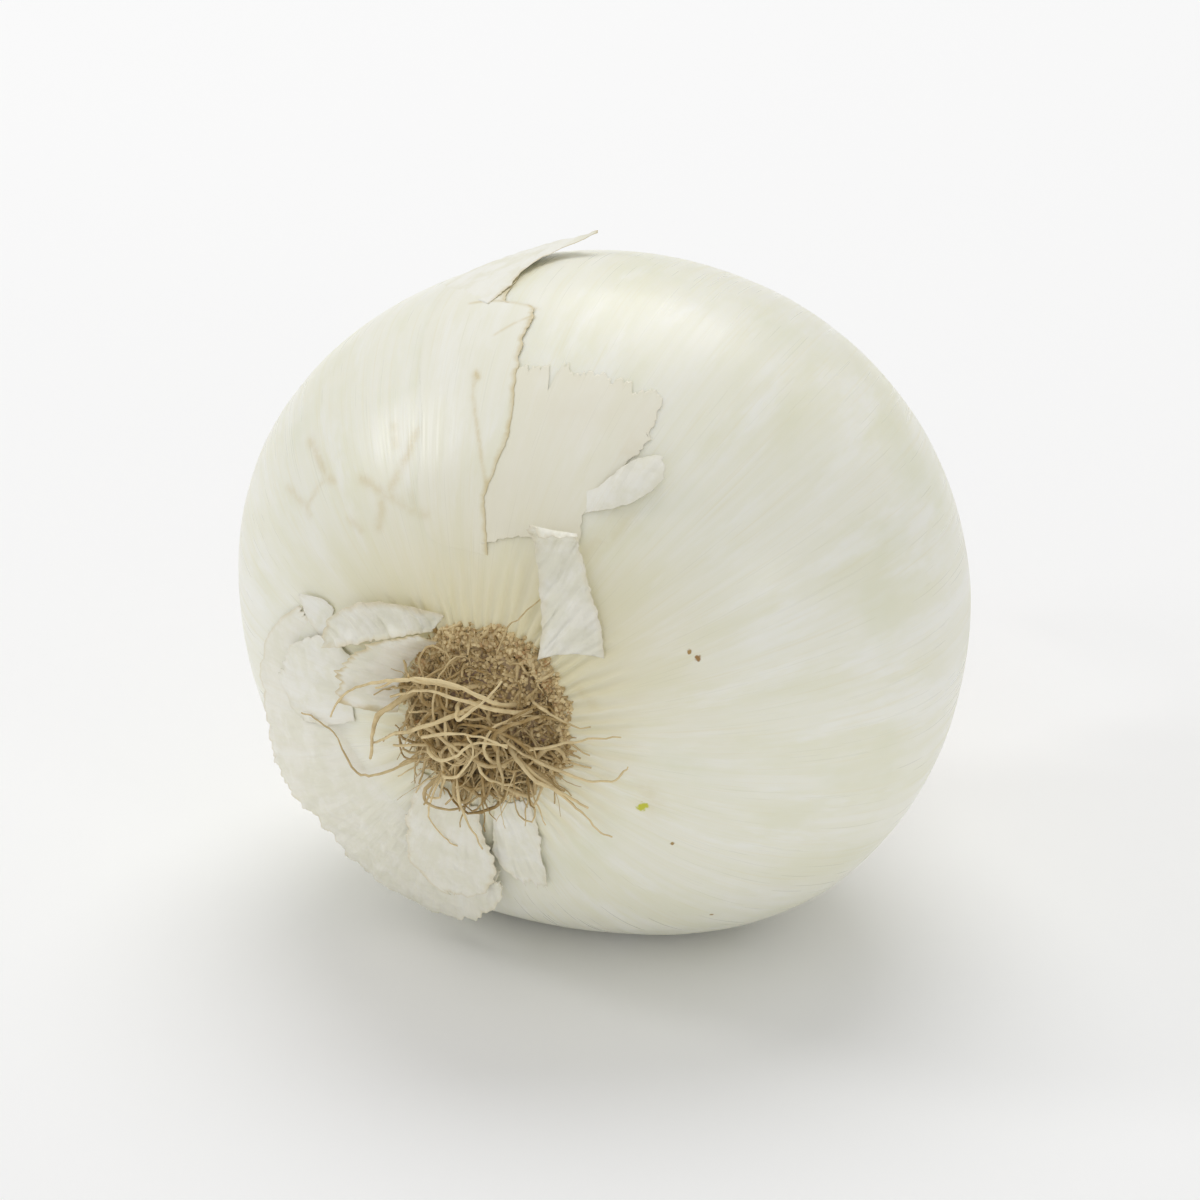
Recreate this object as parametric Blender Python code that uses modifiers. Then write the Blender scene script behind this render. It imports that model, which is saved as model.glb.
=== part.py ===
"""A white onion as picked and dried, lying on its side with its neck leaves knotted.

The bulb's axis lies along Y: the root end looks to -Y and the neck to +Y. The surface that it
rests on is z = 0, and the flat spot under the bulb is at the origin. A place on the bulb is given
by two angles: its clock angle, seen from the root end with 0 at the top and 90 to the right, and
its polar angle, 0 at the root, 90 at the widest ring and 180 at the neck.
"""

import math
import random

import bpy
import bmesh
import numpy as np
from mathutils import Matrix, Vector

MM = 0.001
WELD = 1e-6
SEED = 11

# Bulb
EQUATOR_RADIUS = 41.0 * MM
WIDE_BULGE = 0.037  # the section is this share wider towards WIDE_CLOCK, and as much narrower across it
WIDE_CLOCK = math.radians(79)
# Gentle lobes of the section: waves around, height, and the clock phase in degrees
LOBES = [(3, 0.31 * MM, 43), (4, 0.36 * MM, 171), (5, 0.20 * MM, 2)]
REST_DEPTH = 1.0 * MM  # how much of the round belly the flat spot takes off
SEAT_RADIUS = 8.9 * MM
SEAT_DEPTH = 1.5 * MM
ROOT_RIM = 31.8 * MM  # from the widest ring to the rim of the root plate's seat
NECK_END = 51.0 * MM
NECK_RADIUS = 5.0 * MM
STEPS_AROUND = 90
# Outline from the seat's rim to the neck: distance from the axis, distance along it, in millimetres
OUTLINE = [
    (9.4, -31.8), (13.0, -30.5), (19.0, -28.2), (27.0, -23.6), (34.4, -16.4), (39.5, -7.8),
    (41.0, 0.0), (39.9, 8.7), (36.0, 17.2), (29.4, 25.2), (21.4, 32.2), (14.4, 38.2),
    (9.0, 43.2), (6.1, 47.2), (5.0, 51.0),
]
OUTLINE_STEPS = 2
PLEATS = 30
PLEAT_DEPTH = 0.34 * MM
PLEAT_REACH = math.radians(34)  # polar angle where the root pleats have faded
WRINKLES = 16
WRINKLE_DEPTH = 0.3 * MM
WRINKLE_REACH = (math.radians(128), math.radians(166))  # polar angles between which the wrinkles grow
SKIN_STEP = 0.45 * MM  # thickness of the torn outer skin that still covers part of the bulb

# Root plate and roots
PLATE_GAP = 0.3 * MM
PLATE_RADIUS = SEAT_RADIUS - PLATE_GAP
PLATE_HEIGHT = 3.4 * MM
PLATE_DOME = 0.93  # share of a full half-ball that the plate's dome is
PLATE_STEPS = 24
ROOT_COUNT = 66
ROOT_RADIUS = 0.42 * MM
ROOT_SUNK = 0.9 * MM  # how deep a root starts inside the plate
ROOT_CLEARANCE = 0.8 * MM  # from a root's middle to the skin
STUBBLE_LENGTH = 3.4 * MM
STUBBLE_CURL = 0.3
STUBBLE_CLOCKS = (math.radians(-25), math.radians(115))
COLLAR_CLOCKS = (math.radians(-110), math.radians(-30))  # where the skin's collar keeps roots in
CURLY_LENGTH = 7.5 * MM
CURLY_CURL = 0.75
LONG_ROOT_ARCH = 2.4 * MM
GOLDEN_ANGLE = math.pi * (3 - math.sqrt(5))
# Long roots that lie over the skin: clock angle at the plate, then clock, polar and lift in mm at the
# tip, and how far the root sways to its side in mm
LONG_ROOTS = [
    (-104, -106, 34, 3.0, 1.8),
    (-118, -113, 33, 3.4, -1.6),
    (-128, -127, 38, 2.6, 1.6),
    (-150, -170, 32, 2.4, -2.2),
    (178, -176, 33, 2.2, 1.4),
    (120, 156, 30, 2.2, 2.4),
    (112, 137, 35, 2.2, -2.6),
    (100, 116, 26, 2.6, 1.8),
    (64, 93, 27, 2.4, 2.0),
]

# Neck leaves
LEAF_GAP = 0.3 * MM
LEAF_THICKNESS = 0.8 * MM
LEAF_RIB = 0.28 * MM
LEAF_CUP = 0.9 * MM
LEAF_TAPER = 1.2 * MM  # how much narrower a leaf's torn tip is
TEAR_SHARE = 0.2  # share of a leaf's length that its torn tip takes
KNOT_RADIUS = 5.4 * MM
KNOT_ALONG = 5.0 * MM  # from the end of the bulb to the middle of the knot
STUB_STEPS = 24
FLUTES = 8
FLUTE_DEPTH = 0.05
FLUTE_TWIST = 90.0  # radians a metre
UPRIGHT_REFERENCE = Vector((0.25, 0, 1))  # a leaf's width is level at no twist, across this direction
BAND_WIDTH = 4.0 * MM
BAND_THICKNESS = 1.4 * MM
BAND_BOW = 0.3 * MM
BAND_STEPS = 16
BAND_COLUMNS = 4
# Ribbons of dry leaf. Each row: width at the knot and at the tip in mm, points in mm from the knot's
# middle as (right, along, up), the twist in degrees at the knot and at the tip, and how torn the tip is
LEAF_RIBBONS = [
    (5.0, 6.6, [(0, -3, -1), (-2, 3, -3), (-5, 11, -4), (-10, 20, -6), (-15, 27, -9)], (10, 40), 4.5),
    (4.6, 6.2, [(0, -3, 0), (0, 4, -2), (0, 12, -6), (1, 19, -11), (1, 25, -15)], (-15, 25), 5.0),
    (4.0, 5.2, [(0, -3, 0), (-2, 4, -4), (-4, 12, -10), (-5, 19, -16), (-5, 24, -20)], (30, -35), 4.0),
    (3.4, 3.0, [(0, -1, 0), (-4, 1, 3), (-7, 3, 7), (-9, 5, 11), (-12, 6, 14)], (70, 40), 2.0),
    (5.4, 7.0, [(0, 1, 0), (4, 1, -3), (8, 0, -7), (9, -3, -13), (7, -5, -19)], (80, 95), 3.0),
]
LEAF_STEPS = 2
LEAF_COLUMNS = 7
# The leaves wound round the knot: lean in degrees, shift along the axis, and how oval the ring is
BANDS = [(14, -0.6 * MM, 0.04), (-24, 0.8 * MM, 0.07)]

# Flaps of torn skin
SKIN_THICKNESS = 0.6 * MM
SKIN_GAP = 0.1 * MM
# Loose flaps of torn outer skin. Each row: name, how ragged its first edge, its second edge and its
# free end are in mm, and the two edges as points of (clock, polar, lift) in degrees and mm, paired
# from the held end to the free end
SKIN_FLAPS = [
    ("skin_flap_upright", (0.3, 0.3, 0.5),
     [(37, 19.5, 0.5), (31, 24, 1.2), (24, 29, 2.0), (17, 34, 2.6), (10, 37.5, 2.8)],
     [(56, 28.5, 0.3), (46, 31, 0.4), (38, 34, 0.7), (31, 37, 1.0), (24, 40, 1.4)]),
    ("skin_flap_folded", (0.3, 0.4, 0.4),
     [(-27, 22, 0.3), (-42, 26, 0.7), (-55, 31, 1.1), (-66, 34.5, 1.4), (-74, 36, 1.6)],
     [(-37, 20.5, 0.4), (-50, 22, 1.0), (-63, 25, 1.7), (-73, 29, 2.0), (-79, 34, 1.9)]),
    ("skin_collar", (0.0, 0.3, 0.3),
     [(-46, 18.8, 0.9), (-58, 19.0, 0.9), (-74, 19.2, 0.9), (-91, 19.7, 0.9)],
     [(-44, 19.0, 2.4), (-59, 20.4, 3.4), (-76, 22.2, 3.6), (-89, 24.0, 2.6)]),
    ("skin_ragged_edge", (0.7, 1.7, 0.8),
     [(-78, 40, 0.3), (-92, 35, 0.3), (-110, 33, 0.3), (-126, 32, 0.3), (-142, 31, 0.3),
      (-158, 30, 0.3), (-174, 31, 0.3)],
     [(-73, 47, 1.4), (-96, 62, 0.8), (-115, 66, 1.4), (-128, 68, 2.0), (-142, 66, 2.0),
      (-157, 67, 2.0), (-177, 46, 1.6)]),
    ("skin_sliver_top", (0.2, 0.2, 0.2),
     [(-28, 91, 0.3), (-24, 96, 0.5), (-17, 99, 0.9), (-10, 100, 1.5), (-4.5, 99.5, 2.1)],
     [(-15, 81, 0.3), (-14, 87, 0.4), (-11, 92, 0.8), (-7.5, 96, 1.4), (-4, 98.5, 2.0)]),
    ("skin_tongue", (0.3, 0.2, 0.4),
     [(15, 46, 0.3), (19, 51, 0.6), (23, 56, 1.0), (27, 60, 1.5)],
     [(17, 42, 0.3), (23, 45, 0.5), (29, 51, 0.9), (32, 57, 1.4)]),
    ("skin_strip_neck_right", (0.4, 0.4, 0.8),
     [(92, 150, 0.4), (95, 140, 0.8), (93, 130, 1.5), (88, 120, 2.6)],
     [(112, 149, 0.4), (110, 139, 0.7), (103, 128, 1.3), (94, 119, 2.4)]),
    ("skin_strip_neck_left", (0.4, 0.4, 0.8),
     [(-66, 152, 0.4), (-64, 142, 0.6), (-60, 132, 1.0), (-62, 123, 1.6)],
     [(-90, 150, 0.4), (-86, 140, 0.6), (-76, 130, 0.9), (-68, 122, 1.5)]),
]
FLAP_STEPS = 3
FLAP_COLUMNS = 5
FLAP_BOW = 0.35  # mm that the middle of a flap bows out


def spline(points, steps):
    """Points on a smooth curve through the given ones, with that many steps between each two."""
    given = np.array(points, float)
    ends = (2 * given[0] - given[1], 2 * given[-1] - given[-2])
    p = np.vstack([ends[0], given, ends[1]])
    made = []
    for i in range(1, len(p) - 2):
        for t in np.arange(steps) / steps:
            a, b, c, d = p[i - 1 : i + 3]
            bend = (c - a) * t + (2 * a - 5 * b + 4 * c - d) * t**2 + (3 * b - a - 3 * c + d) * t**3
            made.append(b + bend / 2)
    return np.array([*made, given[-1]])


MERIDIAN = spline(OUTLINE, OUTLINE_STEPS) * MM
MERIDIAN_POLAR = np.arctan2(MERIDIAN[:, 0], -MERIDIAN[:, 1])
MERIDIAN_REACH = np.hypot(MERIDIAN[:, 0], MERIDIAN[:, 1])


def smooth(low, high, value):
    """0 below low, 1 above high, and an easy slope between."""
    t = np.clip((value - low) / (high - low), 0, 1)
    return t * t * (3 - 2 * t)


def skin_cover(clock, polar):
    """1 where the torn outer skin still lies on the bulb, 0 where the bare scale shows.

    It is left as a strip over the top from near the root, on the under side, and all round the neck.
    Waves of two lengths make each of its edges ragged. All its angles are in degrees.
    """
    around = np.degrees(clock)
    along = np.degrees(polar)
    side_tear = 2.5 * np.sin(along / 4.1) + 1.5 * np.sin(along / 1.9 + 1)
    root_edge = 38 + 3 * np.sin(around / 5.0) + 2 * np.sin(around / 2.3)
    neck_edge = 118 + 6 * np.sin(around / 11.0) + 3 * np.sin(around / 4.0)
    top_strip = (around > -6 + side_tear * 0.5) & (around < 24 + side_tear) & (along > root_edge)
    under_side = ((around < -118 + side_tear) | (around > 150 + side_tear)) & (along > root_edge + 58)
    return (top_strip | under_side | (along > neck_edge)).astype(float)


def plain_reach(clock, polar):
    """Distance from the bulb's middle to its surface in that direction, without the fine relief."""
    reach = np.interp(polar, MERIDIAN_POLAR, MERIDIAN_REACH)
    belly = np.sin(polar) ** 2
    reach = reach * (1 + WIDE_BULGE * belly * np.cos(2 * (clock - WIDE_CLOCK)))
    for waves, height, phase in LOBES:
        reach = reach + height * belly * np.cos(waves * clock - math.radians(phase))
    return reach


AXIS_HEIGHT = float(plain_reach(math.pi, math.pi / 2)) - REST_DEPTH
MIDDLE = Vector((0, 0, AXIS_HEIGHT))


def relief(clock, polar):
    """How far the pleats, the wrinkles and the outer skin raise the surface there."""
    near_root = 1 - smooth(MERIDIAN_POLAR[0], PLEAT_REACH, polar)
    near_neck = smooth(*WRINKLE_REACH, polar)
    pleats = PLEAT_DEPTH * near_root * np.cos(PLEATS * clock)
    wrinkles = WRINKLE_DEPTH * near_neck * np.cos(WRINKLES * clock)
    return pleats + wrinkles + SKIN_STEP * skin_cover(clock, polar) * (1 - near_neck)


def clear_reach(clock, polar):
    """Distance from the bulb's middle that clears the highest relief in that direction."""
    near_root = 1 - smooth(MERIDIAN_POLAR[0], PLEAT_REACH, polar)
    near_neck = smooth(*WRINKLE_REACH, polar)
    return float(plain_reach(clock, polar) + PLEAT_DEPTH * near_root + WRINKLE_DEPTH * near_neck + SKIN_STEP)


def bulb_point(clock, polar, reach):
    """The point in that direction at that distance from the bulb's middle, in the part's frame."""
    across = reach * math.sin(polar)
    return MIDDLE + Vector((across * math.sin(clock), -reach * math.cos(polar), across * math.cos(clock)))


def material(name, colour, roughness):
    """A plain surface of one colour that isn't metal."""
    made = bpy.data.materials.new(name)
    made.use_nodes = True
    shader = made.node_tree.nodes["Principled BSDF"]
    shader.inputs["Base Color"].default_value = (*colour, 1)
    shader.inputs["Roughness"].default_value = roughness
    shader.inputs["Metallic"].default_value = 0.0
    return made


def new_object(name, data, collection):
    """An object with that mesh or curve, linked to the collection."""
    made = bpy.data.objects.new(name, data)
    collection.objects.link(made)
    return made


def evaluated_mesh(obj):
    """The object's mesh after its modifiers, in world space, with its doubles welded."""
    graph = bpy.context.evaluated_depsgraph_get()
    mesh = bpy.data.meshes.new_from_object(obj.evaluated_get(graph))
    mesh.transform(obj.matrix_world)
    work = bmesh.new()
    work.from_mesh(mesh)
    bmesh.ops.remove_doubles(work, verts=work.verts, dist=WELD)
    bmesh.ops.recalc_face_normals(work, faces=work.faces)
    work.to_mesh(mesh)
    work.free()
    return mesh


def finish(obj, surface, sharp_degrees=40):
    """Gives the object its one material and smooth shading."""
    obj.data.materials.clear()
    obj.data.materials.append(surface)
    obj.data.shade_smooth()
    obj.data.set_sharp_from_angle(angle=math.radians(sharp_degrees))


def keep_largest(mesh):
    """Leaves only the mesh's largest shell, so that slivers and closed pockets of a union go."""
    work = bmesh.new()
    work.from_mesh(mesh)
    waiting = set(work.verts)
    shells = []
    while waiting:
        front = [waiting.pop()]
        shell = set(front)
        while front:
            vertex = front.pop()
            for edge in vertex.link_edges:
                other = edge.other_vert(vertex)
                if other not in shell:
                    shell.add(other)
                    front.append(other)
        waiting -= shell
        shells.append(shell)
    largest = max(shells, key=len)
    bmesh.ops.delete(work, geom=[v for v in work.verts if v not in largest], context="VERTS")
    work.to_mesh(mesh)
    work.free()


def joined(name, pieces, collection, surface):
    """One closed body from overlapping closed pieces, which are removed."""
    cutters = bpy.data.collections.new(name + "_pieces")
    bpy.context.scene.collection.children.link(cutters)
    for piece in pieces[1:]:
        collection.objects.unlink(piece)
        cutters.objects.link(piece)
    body = pieces[0]
    union = body.modifiers.new("join", "BOOLEAN")
    union.operation = "UNION"
    union.operand_type = "COLLECTION"
    union.collection = cutters
    union.solver = "EXACT"
    bpy.context.view_layer.update()
    mesh = evaluated_mesh(body)
    keep_largest(mesh)
    for piece in pieces:
        bpy.data.objects.remove(piece)
    bpy.data.collections.remove(cutters)
    made = new_object(name, mesh, collection)
    finish(made, surface)


def turned(name, profile, steps, collection):
    """A closed solid of revolution about Z from a list of (radius, height), top to bottom."""
    mesh = bpy.data.meshes.new(name)
    edges = [(i, i + 1) for i in range(len(profile) - 1)]
    mesh.from_pydata([(radius, 0, height) for radius, height in profile], edges, [])
    obj = new_object(name, mesh, collection)
    screw = obj.modifiers.new("turn", "SCREW")
    screw.axis = "Z"
    screw.steps = steps
    screw.render_steps = steps
    screw.use_merge_vertices = True
    screw.merge_threshold = WELD
    bpy.context.view_layer.update()
    mesh = evaluated_mesh(obj)
    bpy.data.objects.remove(obj)
    return new_object(name, mesh, collection)


def rest_flat(work):
    """Cuts a bmesh flat at z = 0 and closes the cut."""
    cut = bmesh.ops.bisect_plane(
        work, geom=[*work.verts, *work.edges, *work.faces], dist=1e-7,
        plane_co=(0, 0, 0), plane_no=(0, 0, -1), clear_outer=True,
    )
    edges = [part for part in cut["geom_cut"] if isinstance(part, bmesh.types.BMEdge)]
    bmesh.ops.contextual_create(work, geom=edges)
    bmesh.ops.recalc_face_normals(work, faces=work.faces)


def make_bulb(collection, surface):
    """The fleshy bulb with its torn skin as low relief, cut flat where it rests.

    It is turned about Z with the neck up, and then laid down so that the neck looks to +Y.
    """
    outer = [(radius, along) for radius, along in reversed(MERIDIAN)]
    seat_floor = -ROOT_RIM + SEAT_DEPTH
    profile = [(0.0, NECK_END), (NECK_RADIUS * 0.6, NECK_END), *outer]
    profile += [(SEAT_RADIUS, -ROOT_RIM), (SEAT_RADIUS, seat_floor), (0.0, seat_floor)]
    bulb = turned("bulb", profile, STEPS_AROUND, collection)
    work = bmesh.new()
    work.from_mesh(bulb.data)
    for vertex in work.verts:
        x, y, z = vertex.co
        across = math.hypot(x, y)
        polar = math.atan2(across, -z)
        clock = math.atan2(x, -y)
        in_seat = polar < MERIDIAN_POLAR[0] - WELD
        at_neck_end = z > NECK_END - WELD
        if in_seat or at_neck_end:
            vertex.co = (x, z, AXIS_HEIGHT - y)
        else:
            vertex.co = bulb_point(clock, polar, plain_reach(clock, polar) + relief(clock, polar))
    rest_flat(work)
    work.to_mesh(bulb.data)
    work.free()
    finish(bulb, surface, 60)


def tube(name, path, taper, section, collection):
    """A closed tube along the path, with the section's curve as its cross-section, scaled by taper."""
    curve = bpy.data.curves.new(name, "CURVE")
    curve.dimensions = "3D"
    curve.bevel_mode = "OBJECT"
    curve.bevel_object = section
    curve.use_fill_caps = True
    line = curve.splines.new("POLY")
    line.points.add(len(path) - 1)
    for i, point in enumerate(path):
        line.points[i].co = (*point, 1)
        line.points[i].radius = taper[0] + (taper[1] - taper[0]) * i / (len(path) - 1)
    guide = new_object(name + "_guide", curve, collection)
    bpy.context.view_layer.update()
    made = new_object(name, evaluated_mesh(guide), collection)
    bpy.data.objects.remove(guide)
    return made


def section_curve(name, outline, collection):
    """A closed flat curve that tubes take as their section."""
    curve = bpy.data.curves.new(name, "CURVE")
    curve.dimensions = "2D"
    line = curve.splines.new("POLY")
    line.points.add(len(outline) - 1)
    for i, (x, y) in enumerate(outline):
        line.points[i].co = (x, y, 0, 1)
    line.use_cyclic_u = True
    made = new_object(name, curve, collection)
    made.hide_render = True
    made.display_type = "WIRE"
    return made


def dome_height(share):
    """Height of the plate's dome at that share of its radius."""
    return PLATE_HEIGHT * math.sqrt(1 - (PLATE_DOME * share) ** 2)


def plate_point(clock, share):
    """A point on the domed root plate at that clock angle and share of its radius."""
    across = PLATE_RADIUS * share
    along = -ROOT_RIM + SEAT_DEPTH - PLATE_GAP - dome_height(share)
    return Vector((across * math.sin(clock), along, AXIS_HEIGHT + across * math.cos(clock)))


def make_plate(collection):
    """The domed corky plate that the roots grow from, seated in the root end."""
    base = ROOT_RIM - SEAT_DEPTH + PLATE_GAP
    dome = [(PLATE_RADIUS * share, base + dome_height(share)) for share in np.linspace(0, 1, 7)]
    plate = turned("root_plate", [*dome, (PLATE_RADIUS, base), (0.0, base)], PLATE_STEPS, collection)
    plate.data.transform(Matrix.Rotation(math.radians(90), 4, "X"))
    plate.data.transform(Matrix.Translation(MIDDLE))
    return plate


def clear_of_skin(point):
    """The point, pushed straight off the bulb until a root there clears the skin."""
    offset = point - MIDDLE
    across = math.hypot(offset.x, offset.z)
    polar = math.atan2(across, -offset.y)
    clock = math.atan2(offset.x, offset.z)
    if polar < MERIDIAN_POLAR[0]:
        offset.y = min(offset.y, -ROOT_RIM - ROOT_CLEARANCE * 0.5)
        return MIDDLE + offset
    least = clear_reach(clock, polar) + ROOT_CLEARANCE
    return MIDDLE + offset * max(1.0, least / offset.length)


def short_root_path(draw, clock, share):
    """A short root from the plate, that leans outwards and curls as it dries."""
    stubble = STUBBLE_CLOCKS[0] < clock < STUBBLE_CLOCKS[1] and share > 0.45
    length = (STUBBLE_LENGTH if stubble else CURLY_LENGTH) * draw.uniform(0.7, 1.25)
    curl = STUBBLE_CURL if stubble else CURLY_CURL
    steps = 3 if stubble else 4
    lean = -0.3 if COLLAR_CLOCKS[0] < clock < COLLAR_CLOCKS[1] else 0.8
    outward = Vector((math.sin(clock), 0, math.cos(clock)))
    sideways = Vector((math.cos(clock), 0, -math.sin(clock)))
    heading = Vector((0, -1, 0)) + outward * share * lean + sideways * draw.uniform(-0.6, 0.6)
    heading.normalize()
    droop = Vector((draw.uniform(-0.6, 0.3), draw.uniform(-0.1, 0.5), -0.6))
    turn = sideways * draw.uniform(-1.2, 1.2) + droop
    point = plate_point(clock, share) - heading * ROOT_SUNK
    path = [point]
    for _ in range(steps):
        point = point + heading * length / steps
        path.append(clear_of_skin(point))
        heading = (heading + turn * curl).normalized()
    return path


def long_root_path(start_clock, tip_clock, tip_polar, tip_lift, sway):
    """A long dry root from the plate's rim, arched over the skin to its tip."""
    start = plate_point(start_clock, 0.8)
    tip = bulb_point(tip_clock, tip_polar, clear_reach(tip_clock, tip_polar) + tip_lift)
    side = (tip - start).cross(Vector((0, 1, 0))).normalized() * sway
    arch = Vector((0, -LONG_ROOT_ARCH, 0))
    route = spline([
        start - arch.normalized() * ROOT_SUNK,
        start + arch * 0.5,
        start.lerp(tip, 0.4) + arch + side,
        start.lerp(tip, 0.75) + arch * 0.7 + side * 0.7,
        tip,
    ], 2)
    inside, free = route[:2], route[2:]
    return [Vector(point) for point in inside] + [clear_of_skin(Vector(point)) for point in free]


def make_roots(collection, surface):
    """The tuft of dry roots, joined to the plate that it grows from."""
    draw = random.Random(SEED)
    corners = [(math.cos(a), math.sin(a)) for a in (0.0, math.tau / 3, 2 * math.tau / 3)]
    outline = [(ROOT_RADIUS * x, ROOT_RADIUS * y) for x, y in corners]
    section = section_curve("root_section", outline, collection)
    pieces = [make_plate(collection)]
    for i in range(ROOT_COUNT):
        clock = (i * GOLDEN_ANGLE + math.pi) % math.tau - math.pi
        share = 0.9 * math.sqrt((i + 0.5) / ROOT_COUNT)
        path = short_root_path(draw, clock, share)
        pieces.append(tube(f"short_root_{i}", path, (1.0, 0.7), section, collection))
    for i, (start_clock, tip_clock, tip_polar, tip_lift, sway) in enumerate(LONG_ROOTS):
        angles = [math.radians(angle) for angle in (start_clock, tip_clock, tip_polar)]
        path = long_root_path(*angles, tip_lift * MM, sway * MM)
        pieces.append(tube(f"long_root_{i}", path, (1.1, 0.75), section, collection))
    joined("root_tuft", pieces, collection, surface)
    bpy.data.objects.remove(section)


def sheet(name, rows, thickness, collection, ring=False, even=False):
    """A thin closed sheet over rows of points; as a ring, its last row meets the first.

    It is split into triangles before it gets its thickness, so that both its faces bend alike.
    """
    width = len(rows[0])
    points = [point for row in rows for point in row]
    faces = []
    for i in range(len(rows) if ring else len(rows) - 1):
        this_row = i * width
        next_row = (i + 1) % len(rows) * width
        for j in range(width - 1):
            faces.append((this_row + j, this_row + j + 1, next_row + j + 1))
            faces.append((this_row + j, next_row + j + 1, next_row + j))
    mesh = bpy.data.meshes.new(name)
    mesh.from_pydata(points, [], faces)
    made = new_object(name, mesh, collection)
    wall = made.modifiers.new("thickness", "SOLIDIFY")
    wall.thickness = thickness
    wall.offset = 0.0 if ring else 1.0
    wall.use_even_offset = even
    return made


def ribbon_rows(draw, knot, ribbon):
    """The points of one leaf: rows across it, ribbed along its length and torn at its tip."""
    width_low, width_high, points, twist, torn = ribbon
    path = [Vector(point) * MM for point in spline(points, LEAF_STEPS)]
    teeth = [draw.uniform(-0.5, 0.5) * torn * MM for _ in range(LEAF_COLUMNS)]
    last = len(path) - 1
    rows = []
    for i, centre in enumerate(path):
        share = i / last
        at_tip = max(0.0, share - 1 + TEAR_SHARE) / TEAR_SHARE
        ahead = (path[min(i + 1, last)] - path[max(i - 1, 0)]).normalized()
        side = UPRIGHT_REFERENCE.cross(ahead).normalized()
        side.rotate(Matrix.Rotation(math.radians(twist[0] + (twist[1] - twist[0]) * share), 3, ahead))
        face = side.cross(ahead)
        width = (width_low + (width_high - width_low) * share) * MM - LEAF_TAPER * at_tip
        row = []
        for j in range(LEAF_COLUMNS):
            across = j / (LEAF_COLUMNS - 1) - 0.5
            rib = LEAF_RIB * (0.5 if j % 2 else -0.5)
            cup = LEAF_CUP * (1 - 4 * across * across) * (1 - 0.5 * share)
            row.append(knot + centre + side * across * width + face * (rib + cup) + ahead * teeth[j] * at_tip)
        rows.append(row)
    return rows


def band_rows(knot, lean_degrees, shift, oval):
    """The points of a leaf wound once round the stub, leaning to one side."""
    lean = math.tan(math.radians(lean_degrees))
    rows = []
    for i in range(BAND_STEPS):
        turn = math.tau * i / BAND_STEPS
        outward = Vector((math.sin(turn), 0, math.cos(turn)))
        wave = math.sin(2 * turn)
        radius = KNOT_RADIUS * (1 + oval * wave)
        row = []
        for j in range(BAND_COLUMNS):
            across = j / (BAND_COLUMNS - 1) - 0.5
            reach = radius + BAND_BOW * (1 - 4 * across**2)
            along = shift + across * BAND_WIDTH * (1 + 0.2 * wave) + reach * math.cos(turn) * lean
            row.append(knot + outward * reach + Vector((0, along, 0)))
        rows.append(row)
    return rows


def make_stub(start, collection):
    """The fluted and twisted stub that the neck dries down to, swollen where it is knotted."""
    outline = [(4.8, 0.0), (4.8, 1.2), (5.2, 3.2), (5.4, 5.0), (5.2, 6.8), (3.8, 8.4), (2.2, 10.0), (0, 10.0)]
    profile = [(radius * MM, start + along * MM) for radius, along in reversed(outline)]
    stub = turned("leaf_stub", [*profile, (0.0, start)], STUB_STEPS, collection)
    stub.data.transform(Matrix.Rotation(math.radians(-90), 4, "X"))
    for vertex in stub.data.vertices:
        x, y, z = vertex.co
        twist = (y - start) * FLUTE_TWIST
        flute = 1 + FLUTE_DEPTH * math.cos(FLUTES * (math.atan2(x, z) + twist))
        vertex.co = MIDDLE + Vector((x * flute, y, z * flute))
    return stub


def make_leaves(collection, surface):
    """The dried neck leaves: a twisted stub, two bands knotted round it, and the loose leaf ends."""
    draw = random.Random(SEED)
    start = NECK_END + LEAF_GAP
    knot = MIDDLE + Vector((0, start + KNOT_ALONG, 0))
    pieces = [make_stub(start, collection)]
    sheets = []
    for i, ribbon in enumerate(LEAF_RIBBONS):
        sheets.append(sheet(f"leaf_{i}", ribbon_rows(draw, knot, ribbon), LEAF_THICKNESS, collection))
    for i, band in enumerate(BANDS):
        sheets.append(sheet(f"band_{i}", band_rows(knot, *band), BAND_THICKNESS, collection, ring=True))
    bpy.context.view_layer.update()
    for guide in sheets:
        pieces.append(new_object(guide.name + "_solid", evaluated_mesh(guide), collection))
        bpy.data.objects.remove(guide)
    joined("neck_leaves", pieces, collection, surface)


def make_flap(row, collection, surface):
    """One thin torn flap that follows the bulb and lifts off towards its free end."""
    name, ragged, first_edge, second_edge = row
    draw = random.Random(name)
    first = spline(first_edge, FLAP_STEPS)
    second = spline(second_edge, FLAP_STEPS)
    rows = []
    for i, (a, b) in enumerate(zip(first, second)):
        line = []
        for j in range(FLAP_COLUMNS):
            across = j / (FLAP_COLUMNS - 1)
            clock, polar, lift = a + (b - a) * across
            lift += FLAP_BOW * math.sin(math.pi * across) * i / (len(first) - 1)
            clock = math.radians(clock)
            polar = math.radians(polar)
            point = bulb_point(clock, polar, clear_reach(clock, polar) + SKIN_GAP + lift * MM)
            tear = ragged[0] if j == 0 else ragged[1] if j == FLAP_COLUMNS - 1 else 0.0
            tear = ragged[2] if i == len(first) - 1 else tear
            jitter = Vector([draw.uniform(-1, 1) for _ in range(3)]) * tear * MM
            outward = (point - MIDDLE).normalized()
            line.append(point + jitter - outward * jitter.dot(outward))
        rows.append(line)
    facing = (rows[0][-1] - rows[0][0]).cross(rows[1][0] - rows[0][0])
    if facing.dot(rows[0][0] - MIDDLE) < 0:
        rows = [line[::-1] for line in rows]
    flap = sheet(name, rows, SKIN_THICKNESS, collection, even=True)
    finish(flap, surface)


def clear_scene():
    """Removes the objects that the scene starts with."""
    for obj in list(bpy.data.objects):
        bpy.data.objects.remove(obj)


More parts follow.
